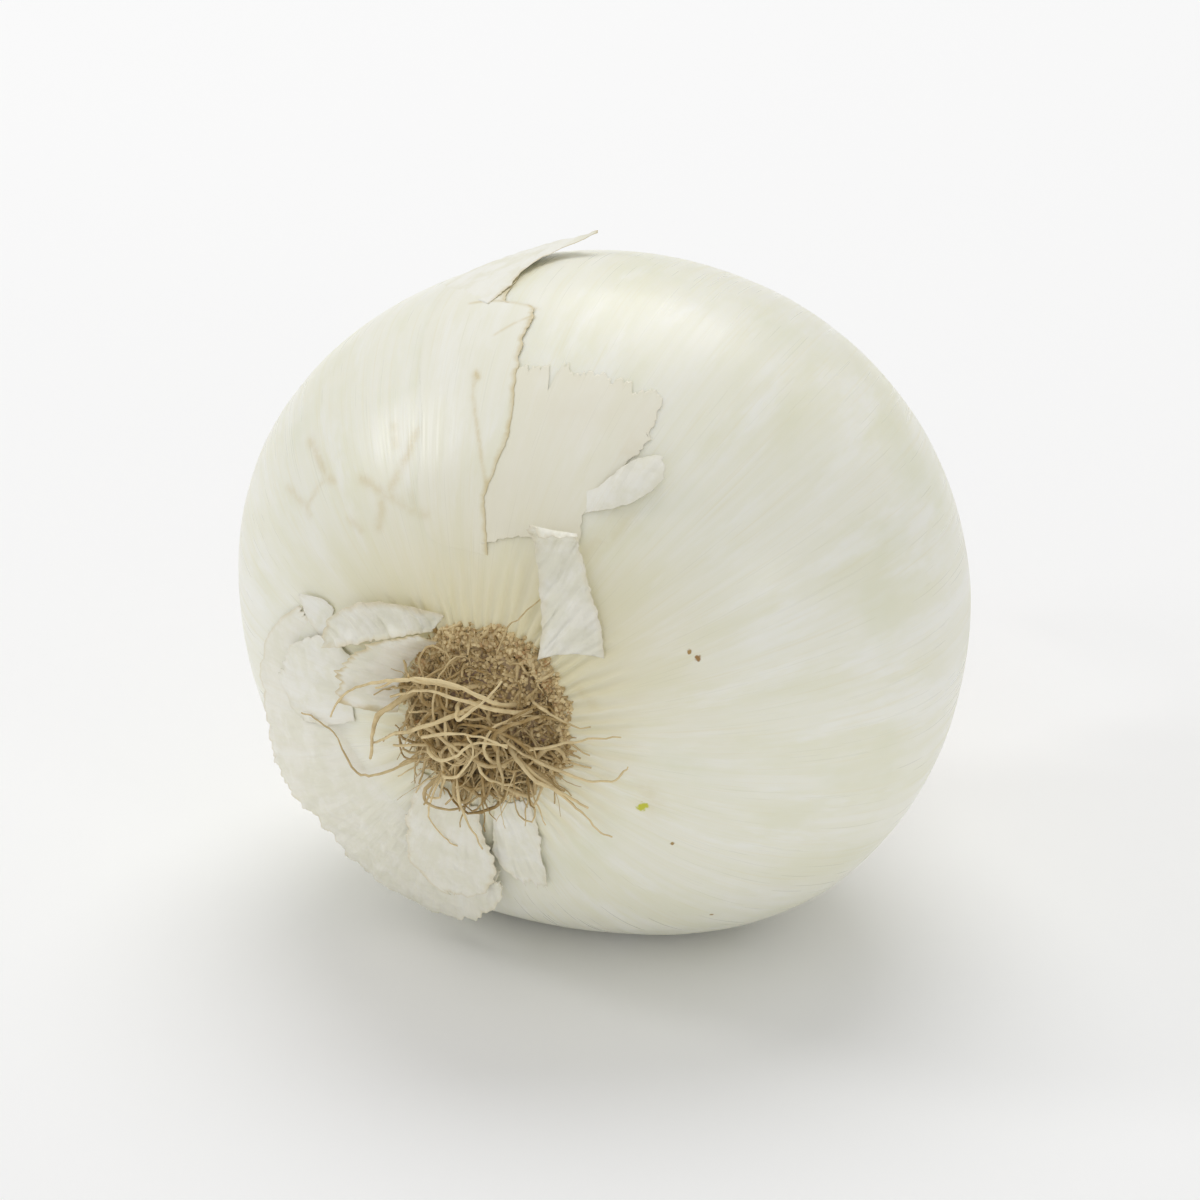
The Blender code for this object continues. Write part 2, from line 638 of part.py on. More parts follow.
def main():
    """Builds the whole onion in its own collection."""
    clear_scene()
    onion = bpy.data.collections.new("onion")
    bpy.context.scene.collection.children.link(onion)
    white_scale = material("white_scale", (0.83, 0.82, 0.71), 0.34)
    paper_skin = material("paper_skin", (0.87, 0.86, 0.78), 0.5)
    dry_root = material("dry_root", (0.50, 0.38, 0.22), 0.85)
    dry_leaf = material("dry_leaf", (0.70, 0.58, 0.38), 0.75)
    make_bulb(onion, white_scale)
    make_roots(onion, dry_root)
    make_leaves(onion, dry_leaf)
    for row in SKIN_FLAPS:
        make_flap(row, onion, paper_skin)


main()
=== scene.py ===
"""The looks of a white onion, built on its packed solids.

The bulb's axis lies along Y, with the root end towards -Y. A place on the bulb is given by its clock
angle, seen from the root end with 0 at the top and 90 to the right, its polar angle, 0 at the root
and 180 at the neck, and its lift off the flesh.
"""

import math
import random

import bmesh
import bpy
import numpy as np
from bpy.props import FloatProperty, FloatVectorProperty, IntProperty, PointerProperty
from mathutils import Matrix, Vector, noise
from mathutils.bvhtree import BVHTree


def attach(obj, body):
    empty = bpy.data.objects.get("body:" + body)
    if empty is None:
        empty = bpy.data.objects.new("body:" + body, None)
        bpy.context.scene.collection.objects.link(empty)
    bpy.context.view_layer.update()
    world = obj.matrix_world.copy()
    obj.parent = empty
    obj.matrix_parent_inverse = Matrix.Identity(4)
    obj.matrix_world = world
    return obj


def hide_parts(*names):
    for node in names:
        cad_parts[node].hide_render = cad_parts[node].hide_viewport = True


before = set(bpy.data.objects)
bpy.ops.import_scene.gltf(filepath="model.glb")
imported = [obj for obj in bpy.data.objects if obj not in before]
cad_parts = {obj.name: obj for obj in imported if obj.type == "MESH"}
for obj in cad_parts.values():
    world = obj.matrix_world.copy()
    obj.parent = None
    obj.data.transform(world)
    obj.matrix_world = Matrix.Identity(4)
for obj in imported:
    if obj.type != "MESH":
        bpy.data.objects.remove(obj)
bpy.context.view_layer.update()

bl_info = {
    "name": "White Onion",
    "version": (1, 0, 0),
    "blender": (4, 5, 0),
    "location": "3D View > Sidebar > Onion",
    "description": "Dresses a packed white onion with flesh, papery skin, dry roots and knotted leaves",
    "category": "Object",
}

MM = 0.001

# Outline of the flesh from the seat's rim to the neck: distance from the axis, distance along it, in mm
OUTLINE = [
    (9.4, -31.8), (13.0, -30.5), (19.0, -28.2), (27.0, -23.6), (34.4, -16.4), (39.5, -7.8),
    (41.0, 0.0), (39.9, 8.7), (36.0, 17.2), (29.4, 25.2), (21.4, 32.2), (14.4, 38.2),
    (9.0, 43.2), (6.1, 47.2), (5.0, 51.0),
]
WIDE_BULGE = 0.037
WIDE_CLOCK = math.radians(79)
LOBES = [(3, 0.31 * MM, 43), (4, 0.36 * MM, 171), (5, 0.20 * MM, 2)]
REST_DEPTH = 1.0 * MM
ROOT_RIM = 31.8 * MM
SEAT_DEPTH = 1.5 * MM
NECK_END = 51.0 * MM


def spline(points, steps):
    """Points on a smooth curve through the given ones, with that many steps between each two."""
    given = np.array(points, float)
    ends = (2 * given[0] - given[1], 2 * given[-1] - given[-2])
    p = np.vstack([ends[0], given, ends[1]])
    made = []
    for i in range(1, len(p) - 2):
        for t in np.arange(steps) / steps:
            a, b, c, d = p[i - 1 : i + 3]
            bend = (c - a) * t + (2 * a - 5 * b + 4 * c - d) * t**2 + (3 * b - a - 3 * c + d) * t**3
            made.append(b + bend / 2)
    return np.array([*made, given[-1]])


MERIDIAN = spline(OUTLINE, 12) * MM
MERIDIAN_POLAR = np.arctan2(MERIDIAN[:, 0], -MERIDIAN[:, 1])
MERIDIAN_REACH = np.hypot(MERIDIAN[:, 0], MERIDIAN[:, 1])


def plain_reach(clock, polar):
    """Distance from the bulb's middle to its smooth surface in that direction, in radians and metres."""
    reach = np.interp(polar, MERIDIAN_POLAR, MERIDIAN_REACH)
    belly = np.sin(polar) ** 2
    reach = reach * (1 + WIDE_BULGE * belly * np.cos(2 * (clock - WIDE_CLOCK)))
    for waves, height, phase in LOBES:
        reach = reach + height * belly * np.cos(waves * clock - math.radians(phase))
    return reach


AXIS_HEIGHT = float(plain_reach(math.pi, math.pi / 2)) - REST_DEPTH
MIDDLE = np.array([0, 0, AXIS_HEIGHT])


def direction(clock, polar):
    """The unit vector from the bulb's middle in that direction."""
    return np.stack([np.sin(polar) * np.sin(clock), -np.cos(polar), np.sin(polar) * np.cos(clock)], -1)


# ---- settings ----


class OnionFleshSettings(bpy.types.PropertyGroup):
    """Sizes and colours of the fleshy bulb."""

    around: IntProperty(name="Steps around", description="Faces round the bulb", default=384, min=24)
    along: IntProperty(name="Steps along", description="Faces from root to neck", default=236, min=24)
    pleats: IntProperty(name="Pleats", description="Fine folds round the root", default=56, min=0)
    pleat_depth: FloatProperty(
        name="Pleat depth", description="Height of the folds round the root", default=0.2 * MM, unit="LENGTH")
    wave_height: FloatProperty(
        name="Wave height", description="Height of the soft dents", default=0.45 * MM, unit="LENGTH")
    wave_size: FloatProperty(
        name="Wave size", description="Width of the soft dents", default=15 * MM, unit="LENGTH")
    vein_height: FloatProperty(
        name="Vein height", description="Height of the veins along the bulb", default=0.02 * MM, unit="LENGTH")
    wrinkles: IntProperty(name="Wrinkles", description="Folds of the drying neck", default=16, min=0)
    wrinkle_depth: FloatProperty(
        name="Wrinkle depth", description="Height of the folds of the neck", default=0.3 * MM, unit="LENGTH")
    seed: IntProperty(name="Seed", description="Changes the dents and veins", default=4)
    light: FloatVectorProperty(
        name="Light flesh", description="Colour of the palest flesh", subtype="COLOR", default=(0.91, 0.90, 0.79))
    deep: FloatVectorProperty(
        name="Deep flesh", description="Colour of the flesh in the shaded streaks", subtype="COLOR",
        default=(0.86, 0.85, 0.68))
    green: FloatVectorProperty(
        name="Green tint", description="Colour of the unripe parts", subtype="COLOR", default=(0.76, 0.78, 0.57))
    milk: FloatVectorProperty(
        name="Milk", description="Colour of the milky streaks", subtype="COLOR", default=(0.94, 0.935, 0.86))
    # This colour also paints the shadow band under the lifted sliver
    stain_and_shade: FloatVectorProperty(
        name="Stain", description="Colour of tan creases and stains", subtype="COLOR", default=(0.66, 0.54, 0.28))
    yellow: FloatVectorProperty(
        name="Yellow tint", description="Colour between the pleats", subtype="COLOR", default=(0.78, 0.70, 0.42))


class OnionSkinSettings(bpy.types.PropertyGroup):
    """Sizes and colours of the papery skin."""

    thickness: FloatProperty(
        name="Thickness", description="Thickness of the dry skin", default=0.06 * MM, unit="LENGTH")
    laid_thickness: FloatProperty(
        name="Laid thickness", description="Thickness of the skin that lies on the flesh", default=0.035 * MM,
        unit="LENGTH")
    light: FloatVectorProperty(
        name="Light skin", description="Colour of the bleached skin", subtype="COLOR", default=(0.92, 0.91, 0.83))
    sheer: FloatVectorProperty(
        name="Sheer skin", description="Colour where the flesh shows through", subtype="COLOR",
        default=(0.84, 0.82, 0.67))
    warm: FloatVectorProperty(
        name="Warm skin", description="Colour of the thicker skin", subtype="COLOR", default=(0.87, 0.83, 0.68))
    edge: FloatVectorProperty(
        name="Torn edge", description="Colour of the dried torn edge", subtype="COLOR", default=(0.68, 0.55, 0.28))


class OnionRootSettings(bpy.types.PropertyGroup):
    """Sizes and colours of the root plate and the roots."""

    strands: IntProperty(name="Curly roots", description="How many curly roots there are", default=120, min=0)
    fringe: IntProperty(name="Fringe", description="How many roots hang over the rim", default=46, min=0)
    strand_radius: FloatProperty(
        name="Root radius", description="Radius of a root at its base", default=0.26 * MM, unit="LENGTH")
    hairs: IntProperty(name="Root hairs", description="How many thin hairs there are", default=90, min=0)
    hair_radius: FloatProperty(
        name="Hair radius", description="Radius of a thin hair", default=0.09 * MM, unit="LENGTH")
    stubble: IntProperty(name="Stubble", description="Short root ends to a square centimetre", default=620, min=0)
    stubble_length: FloatProperty(
        name="Stubble length", description="Length of a short root end", default=1.5 * MM, unit="LENGTH")
    seed: IntProperty(name="Seed", description="Changes how the roots lie", default=5)
    straw: FloatVectorProperty(
        name="Straw", description="Colour of the pale roots", subtype="COLOR", default=(0.80, 0.65, 0.37))
    brown: FloatVectorProperty(
        name="Brown", description="Colour of the old roots", subtype="COLOR", default=(0.36, 0.24, 0.09))
    cork: FloatVectorProperty(
        name="Cork", description="Colour of the root plate", subtype="COLOR", default=(0.52, 0.38, 0.23))
    rust: FloatVectorProperty(
        name="Rust", description="Colour of the oldest bits", subtype="COLOR", default=(0.40, 0.19, 0.06))
    crumbs: IntProperty(
        name="Crumbs", description="How many crumbs there are on a square centimetre of the rim", default=260, min=0)
    crumb_size: FloatProperty(
        name="Crumb size", description="Largest half width of a crumb", default=0.75 * MM, unit="LENGTH")


class OnionLeafSettings(bpy.types.PropertyGroup):
    """Sizes and colours of the dried neck leaves."""

    thickness: FloatProperty(
        name="Thickness", description="Thickness of a dry leaf", default=0.3 * MM, unit="LENGTH")
    rib_height: FloatProperty(
        name="Rib height", description="Height of the fibres along a leaf", default=0.16 * MM, unit="LENGTH")
    fibres: IntProperty(name="Loose fibres", description="Fibres frayed from each leaf", default=16, min=0)
    seed: IntProperty(name="Seed", description="Changes the tears and the fibres", default=8)
    pale: FloatVectorProperty(
        name="Pale leaf", description="Colour of the bleached leaf", subtype="COLOR", default=(0.80, 0.72, 0.55))
    tan: FloatVectorProperty(
        name="Tan leaf", description="Colour of the leaf's fibres", subtype="COLOR", default=(0.50, 0.36, 0.19))


class OnionStageSettings(bpy.types.PropertyGroup):
    """The floor, the lights and the camera."""

    azimuth: FloatProperty(
        name="Azimuth", description="Where the camera stands round the onion", subtype="ANGLE",
        default=math.radians(22.5))
    elevation: FloatProperty(
        name="Elevation", description="How far the camera looks down", subtype="ANGLE",
        default=math.radians(25.7))
    distance: FloatProperty(
        name="Distance", description="From the camera to the middle of the bulb", default=1.0, unit="LENGTH")
    frame_width: FloatProperty(
        name="Frame width", description="Width of the picture at the onion", default=0.134, unit="LENGTH")
    floor: FloatVectorProperty(
        name="Floor", description="Colour of the floor", subtype="COLOR", default=(0.97, 0.97, 0.97))


SETTINGS = {
    "onion_flesh": OnionFleshSettings,
    "onion_skin": OnionSkinSettings,
    "onion_root": OnionRootSettings,
    "onion_leaf": OnionLeafSettings,
    "onion_stage": OnionStageSettings,
}


# ---- node trees ----


def fill(tree, made, inputs):
    """Links or sets a node's inputs."""
    for key, value in inputs.items():
        if isinstance(value, bpy.types.NodeSocket):
            tree.links.new(value, made.inputs[key])
        else:
            made.inputs[key].default_value = value
    return made


def node(tree, kind, inputs=None, **options):
    """A new node with its options set and its inputs linked or set."""
    made = tree.nodes.new(kind)
    for key, value in options.items():
        setattr(made, key, value)
    return fill(tree, made, inputs or {})


def calc(tree, operation, *values, clamp=False):
    """The output of a Math node."""
    return node(tree, "ShaderNodeMath", dict(enumerate(values)), operation=operation, use_clamp=clamp).outputs[0]


def ramp(tree, value, low, high, to_low=0.0, to_high=1.0):
    """The value, eased from low to high, on a new range."""
    made = node(tree, "ShaderNodeMapRange", {
        "Value": value, "From Min": low, "From Max": high, "To Min": to_low, "To Max": to_high,
    }, interpolation_type="SMOOTHSTEP")
    return made.outputs["Result"]


def blend_colour(tree, share, first, second, kind="MIX"):
    """A mix of two colours."""
    made = node(tree, "ShaderNodeMix", data_type="RGBA", blend_type=kind)
    for index, value in ((0, share), (6, first), (7, second)):
        if isinstance(value, bpy.types.NodeSocket):
            tree.links.new(value, made.inputs[index])
        else:
            made.inputs[index].default_value = value if index == 0 else (*value, 1)
    return made.outputs[2]


def new_material(name, roughness, specular, coat=0.0, subsurface=0.0):
    """A material with its tree, and its uniform values on the shader's own sockets."""
    made = bpy.data.materials.new(name)
    made.use_nodes = True
    tree = made.node_tree
    shader = tree.nodes["Principled BSDF"]
    shader.inputs["Roughness"].default_value = roughness
    shader.inputs["Specular IOR Level"].default_value = specular
    shader.inputs["Coat Weight"].default_value = coat
    shader.inputs["Coat Roughness"].default_value = 0.35
    shader.inputs["Subsurface Weight"].default_value = subsurface
    shader.inputs["Subsurface Radius"].default_value = (1.0, 0.9, 0.6)
    shader.inputs["Subsurface Scale"].default_value = 3 * MM
    return made, tree, shader


def grain_noise(tree, across, along, detail=4.0, roughness=0.55, shift=0.0):
    """Noise drawn out along the grain; across and along are its sizes in mm."""
    grain = node(tree, "ShaderNodeAttribute", attribute_name="grain").outputs["Vector"]
    scaled = node(tree, "ShaderNodeMapping", {
        "Vector": grain, "Location": (shift, shift, shift), "Scale": (1 / across, 1 / across, 1 / along),
    })
    made = node(tree, "ShaderNodeTexNoise", {
        "Vector": scaled.outputs[0], "Scale": 1.0, "Detail": detail, "Roughness": roughness,
    })
    return made.outputs[0]


def place_noise(tree, size, detail=3.0, roughness=0.5, shift=0.0):
    """Even noise on the piece's own coordinates; size is in metres."""
    where = node(tree, "ShaderNodeTexCoord").outputs["Object"]
    scaled = node(tree, "ShaderNodeMapping", {"Vector": where, "Location": (shift, shift, shift)})
    made = node(tree, "ShaderNodeTexNoise", {
        "Vector": scaled.outputs[0], "Scale": 1 / size, "Detail": detail, "Roughness": roughness,
    })
    return made.outputs[0]


def bump(tree, shader, height, distance, strength=1.0):
    """Links a height to the shader's normal."""
    made = node(tree, "ShaderNodeBump", {"Height": height, "Distance": distance, "Strength": strength})
    tree.links.new(made.outputs[0], shader.inputs["Normal"])


def spot_mask(tree, wobble, clock, polar, radius):
    """1 in a small irregular spot on the bulb, at angles in degrees, with its radius in metres."""
    c, p = math.radians(clock), math.radians(polar)
    centre = MIDDLE + direction(c, p) * plain_reach(c, p)
    where = node(tree, "ShaderNodeTexCoord").outputs["Object"]
    apart = node(tree, "ShaderNodeVectorMath", {0: where, 1: tuple(centre)}, operation="DISTANCE").outputs["Value"]
    uneven = calc(tree, "MULTIPLY_ADD", wobble, radius * 1.2, -radius * 0.6)
    return ramp(tree, calc(tree, "ADD", apart, uneven), radius, radius * 0.5)


def new_tree(name, sockets):
    """A Geometry Nodes tree with these named inputs, and its input and output nodes."""
    tree = bpy.data.node_groups.new(name, "GeometryNodeTree")
    tree.is_modifier = True
    tree.interface.new_socket("Geometry", in_out="INPUT", socket_type="NodeSocketGeometry")
    for label, kind in sockets:
        tree.interface.new_socket(label, in_out="INPUT", socket_type="NodeSocket" + kind)
    tree.interface.new_socket("Geometry", in_out="OUTPUT", socket_type="NodeSocketGeometry")
    given = tree.nodes.new("NodeGroupInput").outputs
    return tree, given


def end_tree(tree, given, geometry):
    """Ends a tree in Realize Instances and Set Material."""
    whole = node(tree, "GeometryNodeRealizeInstances", {"Geometry": geometry})
    done = node(tree, "GeometryNodeSetMaterial", {"Geometry": whole.outputs[0], "Material": given["Material"]})
    node(tree, "NodeGroupOutput", {"Geometry": done.outputs[0]})


def grow(obj, tree, values):
    """Runs the tree on the object with these inputs, and leaves a plain mesh."""
    modifier = obj.modifiers.new(tree.name, "NODES")
    modifier.node_group = tree
    for item in tree.interface.items_tree:
        if item.in_out == "INPUT" and item.name in values:
            modifier[item.identifier] = values[item.name]
    graph = bpy.context.evaluated_depsgraph_get()
    mesh = bpy.data.meshes.new_from_object(obj.evaluated_get(graph))
    obj.modifiers.clear()
    obj.data = mesh


# ---- meshes ----


def link_object(name, mesh):
    """An object with that mesh in the scene."""
    made = bpy.data.objects.new(name, mesh)
    bpy.context.scene.collection.objects.link(made)
    return made


def mesh_from(name, points, faces, edges=()):
    """A mesh from arrays of points and faces."""
    mesh = bpy.data.meshes.new(name)
    mesh.from_pydata([tuple(p) for p in points], list(edges), [tuple(f) for f in faces])
    return mesh


def store(mesh, name, values):
    """Keeps one number or one vector for each vertex as a named attribute."""
    values = np.asarray(values, np.float32)
    vector = values.ndim == 2
    layer = mesh.attributes.new(name, "FLOAT_VECTOR" if vector else "FLOAT", "POINT")
    layer.data.foreach_set("vector" if vector else "value", values.ravel())


def grid_faces(rows, columns, ring=False):
    """The quads of a grid of points, row by row; as a ring, its last column meets the first."""
    i = np.arange(rows - 1)[:, None]
    j = np.arange(columns if ring else columns - 1)[None, :]
    k = (j + 1) % columns
    quads = np.stack([i * columns + j, i * columns + k, (i + 1) * columns + k, (i + 1) * columns + j], -1)
    return quads.reshape(-1, 4)


def finish_piece(obj, replaced=()):
    """Smooth shading, the body it rides on, and the solids that it stands for, which it hides."""
    obj.data.shade_smooth()
    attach(obj, "root")
    if replaced:
        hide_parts(*replaced)


def with_thickness(obj, thickness, surface):
    """Gives an open sheet its thickness and its material, as a plain closed mesh."""
    obj.data.materials.append(surface)
    wall = obj.modifiers.new("thickness", "SOLIDIFY")
    wall.thickness = thickness
    wall.offset = 1.0
    graph = bpy.context.evaluated_depsgraph_get()
    mesh = bpy.data.meshes.new_from_object(obj.evaluated_get(graph))
    obj.modifiers.clear()
    obj.data = mesh


def rough_line(values, seed, octaves=5):
    """Ragged one-dimensional noise, about -1 to 1."""
    return np.array([noise.fractal(Vector((v, seed * 7.3, seed * 1.7)), 0.7, 2.1, octaves) for v in values])


def rough_field(points, size, seed, octaves=3):
    """Noise of about -1 to 1 at points in metres."""
    moved = np.asarray(points).reshape(-1, 3) / size + seed * 11.7
    return np.array([noise.fractal(Vector(p), 1.0, 2.0, octaves) for p in moved])


# ---- flesh ----


def root_tint(tree, colour, tint):
    """The colour, yellowed towards the root, most of all on the upper side."""
    grain = node(tree, "ShaderNodeAttribute", attribute_name="grain").outputs["Vector"]
    parts = node(tree, "ShaderNodeSeparateXYZ", {0: grain}).outputs
    near = ramp(tree, parts["Z"], 41 * math.radians(58), 41 * math.radians(20))
    upper = ramp(tree, parts["Y"], -15.0, 32.0, 0.25, 1.0)
    share = calc(tree, "MULTIPLY", calc(tree, "MULTIPLY", near, upper), 0.62)
    return blend_colour(tree, share, colour, tint)


def pearl(tree, shader, s, roughness):
    """The pearly colour of flesh and of the skin that lies on it, with fine veins; returns the colour."""
    veins = grain_noise(tree, 0.42, 18, 2.0, 0.6)
    streaks = grain_noise(tree, 1.5, 45, 3.0, 0.6, 3.0)
    clouds = grain_noise(tree, 8, 20, 4.0, 0.6, 8.0)
    milk = grain_noise(tree, 5, 16, 4.0, 0.65, 15.0)
    colour = blend_colour(tree, ramp(tree, streaks, 0.35, 0.70, 0.0, 0.5), s.light, s.deep)
    colour = blend_colour(tree, ramp(tree, clouds, 0.43, 0.68, 0.0, 0.95), colour, s.deep)
    colour = blend_colour(tree, ramp(tree, milk, 0.48, 0.68, 0.0, 0.75), colour, s.milk)
    colour = blend_colour(tree, ramp(tree, veins, 0.54, 0.74, 0.0, 0.16), colour, s.yellow)
    # Tan stains and creases, and a band of painted shadow under the lifted sliver, all in the stain colour
    stain_and_shade_mask = node(tree, "ShaderNodeAttribute", attribute_name="stain_and_shade").outputs["Fac"]
    broken = place_noise(tree, 1.3 * MM, 3.0, 0.6, 1.7)
    share = calc(tree, "MULTIPLY", stain_and_shade_mask, ramp(tree, broken, 0.3, 0.6, 0.45, 1.0))
    colour = blend_colour(tree, share, colour, s.stain_and_shade)
    tree.links.new(ramp(tree, veins, 0.3, 0.7, roughness - 0.06, roughness + 0.08), shader.inputs["Roughness"])
    height = calc(tree, "MULTIPLY_ADD", veins, 0.25, calc(tree, "MULTIPLY", streaks, 0.9))
    bump(tree, shader, height, 0.05 * MM, 0.5)
    return root_tint(tree, colour, s.yellow)


def flesh_material(s):
    """Pearly white flesh with fine veins along the bulb, green and yellow tints, and a few specks."""
    made, tree, shader = new_material("white_flesh", 0.33, 0.45, coat=0.10, subsurface=0.10)
    colour = pearl(tree, shader, s, 0.33)
    clouds = place_noise(tree, 14 * MM, 3.0, 0.55, 0.3)
    colour = blend_colour(tree, ramp(tree, clouds, 0.50, 0.75, 0.0, 0.35), colour, s.green)
    grain = node(tree, "ShaderNodeAttribute", attribute_name="grain").outputs["Vector"]
    along = node(tree, "ShaderNodeSeparateXYZ", {0: grain}).outputs["Z"]
    neck = ramp(tree, along, BULB_SIZE * math.radians(158), BULB_SIZE * math.radians(172), 0.0, 0.9)
    colour = blend_colour(tree, neck, colour, s.stain_and_shade)
    valley = node(tree, "ShaderNodeAttribute", attribute_name="valley").outputs["Fac"]
    colour = blend_colour(tree, calc(tree, "MULTIPLY", valley, 0.6), colour, s.yellow)
    wobble = place_noise(tree, 0.4 * MM, 1.0)
    for clock, polar, radius, shade in FLESH_SPOTS:
        colour = blend_colour(tree, spot_mask(tree, wobble, clock, polar, radius * MM), colour, shade)
    tree.links.new(colour, shader.inputs["Base Color"])
    return made


def laid_material(s, paper):
    """Thin skin that lies on the flesh and shows its pearl, warmer where it is thicker, browned at its tears."""
    made, tree, shader = new_material("laid_skin", 0.33, 0.45, coat=0.10)
    colour = pearl(tree, shader, s, 0.33)
    tone = node(tree, "ShaderNodeAttribute", attribute_name="tone").outputs["Fac"]
    patches = place_noise(tree, 9 * MM, 3.0, 0.6, 0.7)
    share = calc(tree, "MULTIPLY", tone, ramp(tree, patches, 0.3, 0.7, 0.4, 1.0))
    colour = blend_colour(tree, share, colour, paper.warm)
    tree.links.new(torn_colour(tree, colour, s.stain_and_shade), shader.inputs["Base Color"])
    return made


def torn_colour(tree, colour, brown):
    """The colour, browned in a thin broken line along the torn edges, as far as the piece asks for it."""
    edge = node(tree, "ShaderNodeAttribute", attribute_name="edge").outputs["Fac"]
    asked = node(tree, "ShaderNodeAttribute", attribute_name="brown").outputs["Fac"]
    broken = place_noise(tree, 2.5 * MM, 3.0, 0.6, 1.1)
    line = ramp(tree, calc(tree, "MULTIPLY_ADD", broken, 1.4, edge), 1.5, 0.45, 0.0, 0.85)
    return blend_colour(tree, calc(tree, "MULTIPLY", line, asked), colour, brown)


# Tan creases and stains, and one band of painted shadow under the lifted sliver: the points of each as (clock, polar)
# in degrees, its width in mm, its strength
STAINS_AND_SHADE = [
    ([(-14.3, 66), (-13.9, 61.2), (-11.5, 54.7), (-9.0, 48.4), (-6.8, 44.0)], 0.6, 0.55),
    ([(-6.7, 78.9), (-12, 80.6), (-16, 81.4), (-19.7, 81.6)], 0.45, 0.6),
    ([(-6.5, 77.3), (-9.5, 75.5), (-12.5, 73.2)], 0.4, 0.5),
    ([(-14.2, 65.3), (-13.7, 64.6)], 0.9, 1.0),
    # Painted shadow: a tan band where the lifted sliver shades the skin below it
    ([(-14.1, 82.4), (-12.1, 91.3), (-9.6, 97.6)], 1.1, 0.4),
    ([(22.5, 58.5), (22.0, 57.0)], 2.0, 0.35),
    ([(25, 39), (29, 43), (30, 47)], 3.0, 0.3),
    ([(-53.5, 67.0), (-52.1, 62.1), (-51.4, 57.8), (-50.1, 55.4)], 1.2, 0.45),
    ([(-51.4, 57.8), (-54.8, 56.8), (-59.2, 55.9)], 0.9, 0.35),
    ([(-62.1, 63.3), (-59.2, 55.9), (-59.4, 54.1)], 0.9, 0.35),
    ([(-42.5, 52.5), (-37.9, 47.8), (-39.2, 44.8), (-41.9, 42.2)], 1.4, 0.45),
    ([(-26.7, 56.5), (-29.2, 52.6), (-32.0, 50.0), (-36.4, 46.8)], 1.3, 0.45),
    ([(-32.4, 59.2), (-32.2, 55.2)], 1.2, 0.3),
    ([(-37.9, 47.8), (-33.4, 44.8), (-30.5, 42.4), (-26.1, 40.7)], 1.4, 0.35),
    ([(-49.2, 47.1), (-47.4, 43.8)], 1.0, 0.3),
    ([(-29.5, 45.5), (-29.4, 42.7)], 1.0, 0.3),
    ([(112, 33), (118, 36)], 3.0, 0.2),
    ([(62, 20), (75, 22)], 1.2, 0.4),
    ([(-3, 17), (-25, 18), (-45, 19)], 3.0, 0.5),
    ([(-3, 17), (20, 18), (34, 19)], 2.2, 0.45),
]
BULB_SIZE = 41.0


def stain_and_shade_at(clock, polar):
    """How stained the bulb is at those angles, in radians; this includes the painted shadow under the sliver."""
    most = np.zeros(np.shape(clock))
    for line, width, strength in STAINS_AND_SHADE:
        points = np.radians(line)
        for (c0, p0), (c1, p1) in zip(points[:-1], points[1:]):
            around = BULB_SIZE * math.sin((p0 + p1) / 2)
            turn = (clock - c0 + math.pi) % math.tau - math.pi
            x, y = turn * around, (polar - p0) * BULB_SIZE
            dx, dy = (c1 - c0) * around, (p1 - p0) * BULB_SIZE
            share = np.clip((x * dx + y * dy) / (dx * dx + dy * dy), 0, 1)
            apart = np.hypot(x - share * dx, y - share * dy)
            most = np.maximum(most, strength * np.exp(-((apart / (0.5 * width)) ** 2)))
    return most


# Specks on the flesh: clock and polar angle in degrees, radius in mm, colour
FLESH_SPOTS = [
    (119, 34, 0.75, (0.60, 0.60, 0.05)),
    (68.5, 42.5, 0.45, (0.36, 0.20, 0.06)),
    (66.0, 41.5, 0.35, (0.42, 0.26, 0.08)),
    (127, 43, 0.30, (0.40, 0.26, 0.08)),
    (144, 64.5, 0.30, (0.40, 0.26, 0.08)),
]


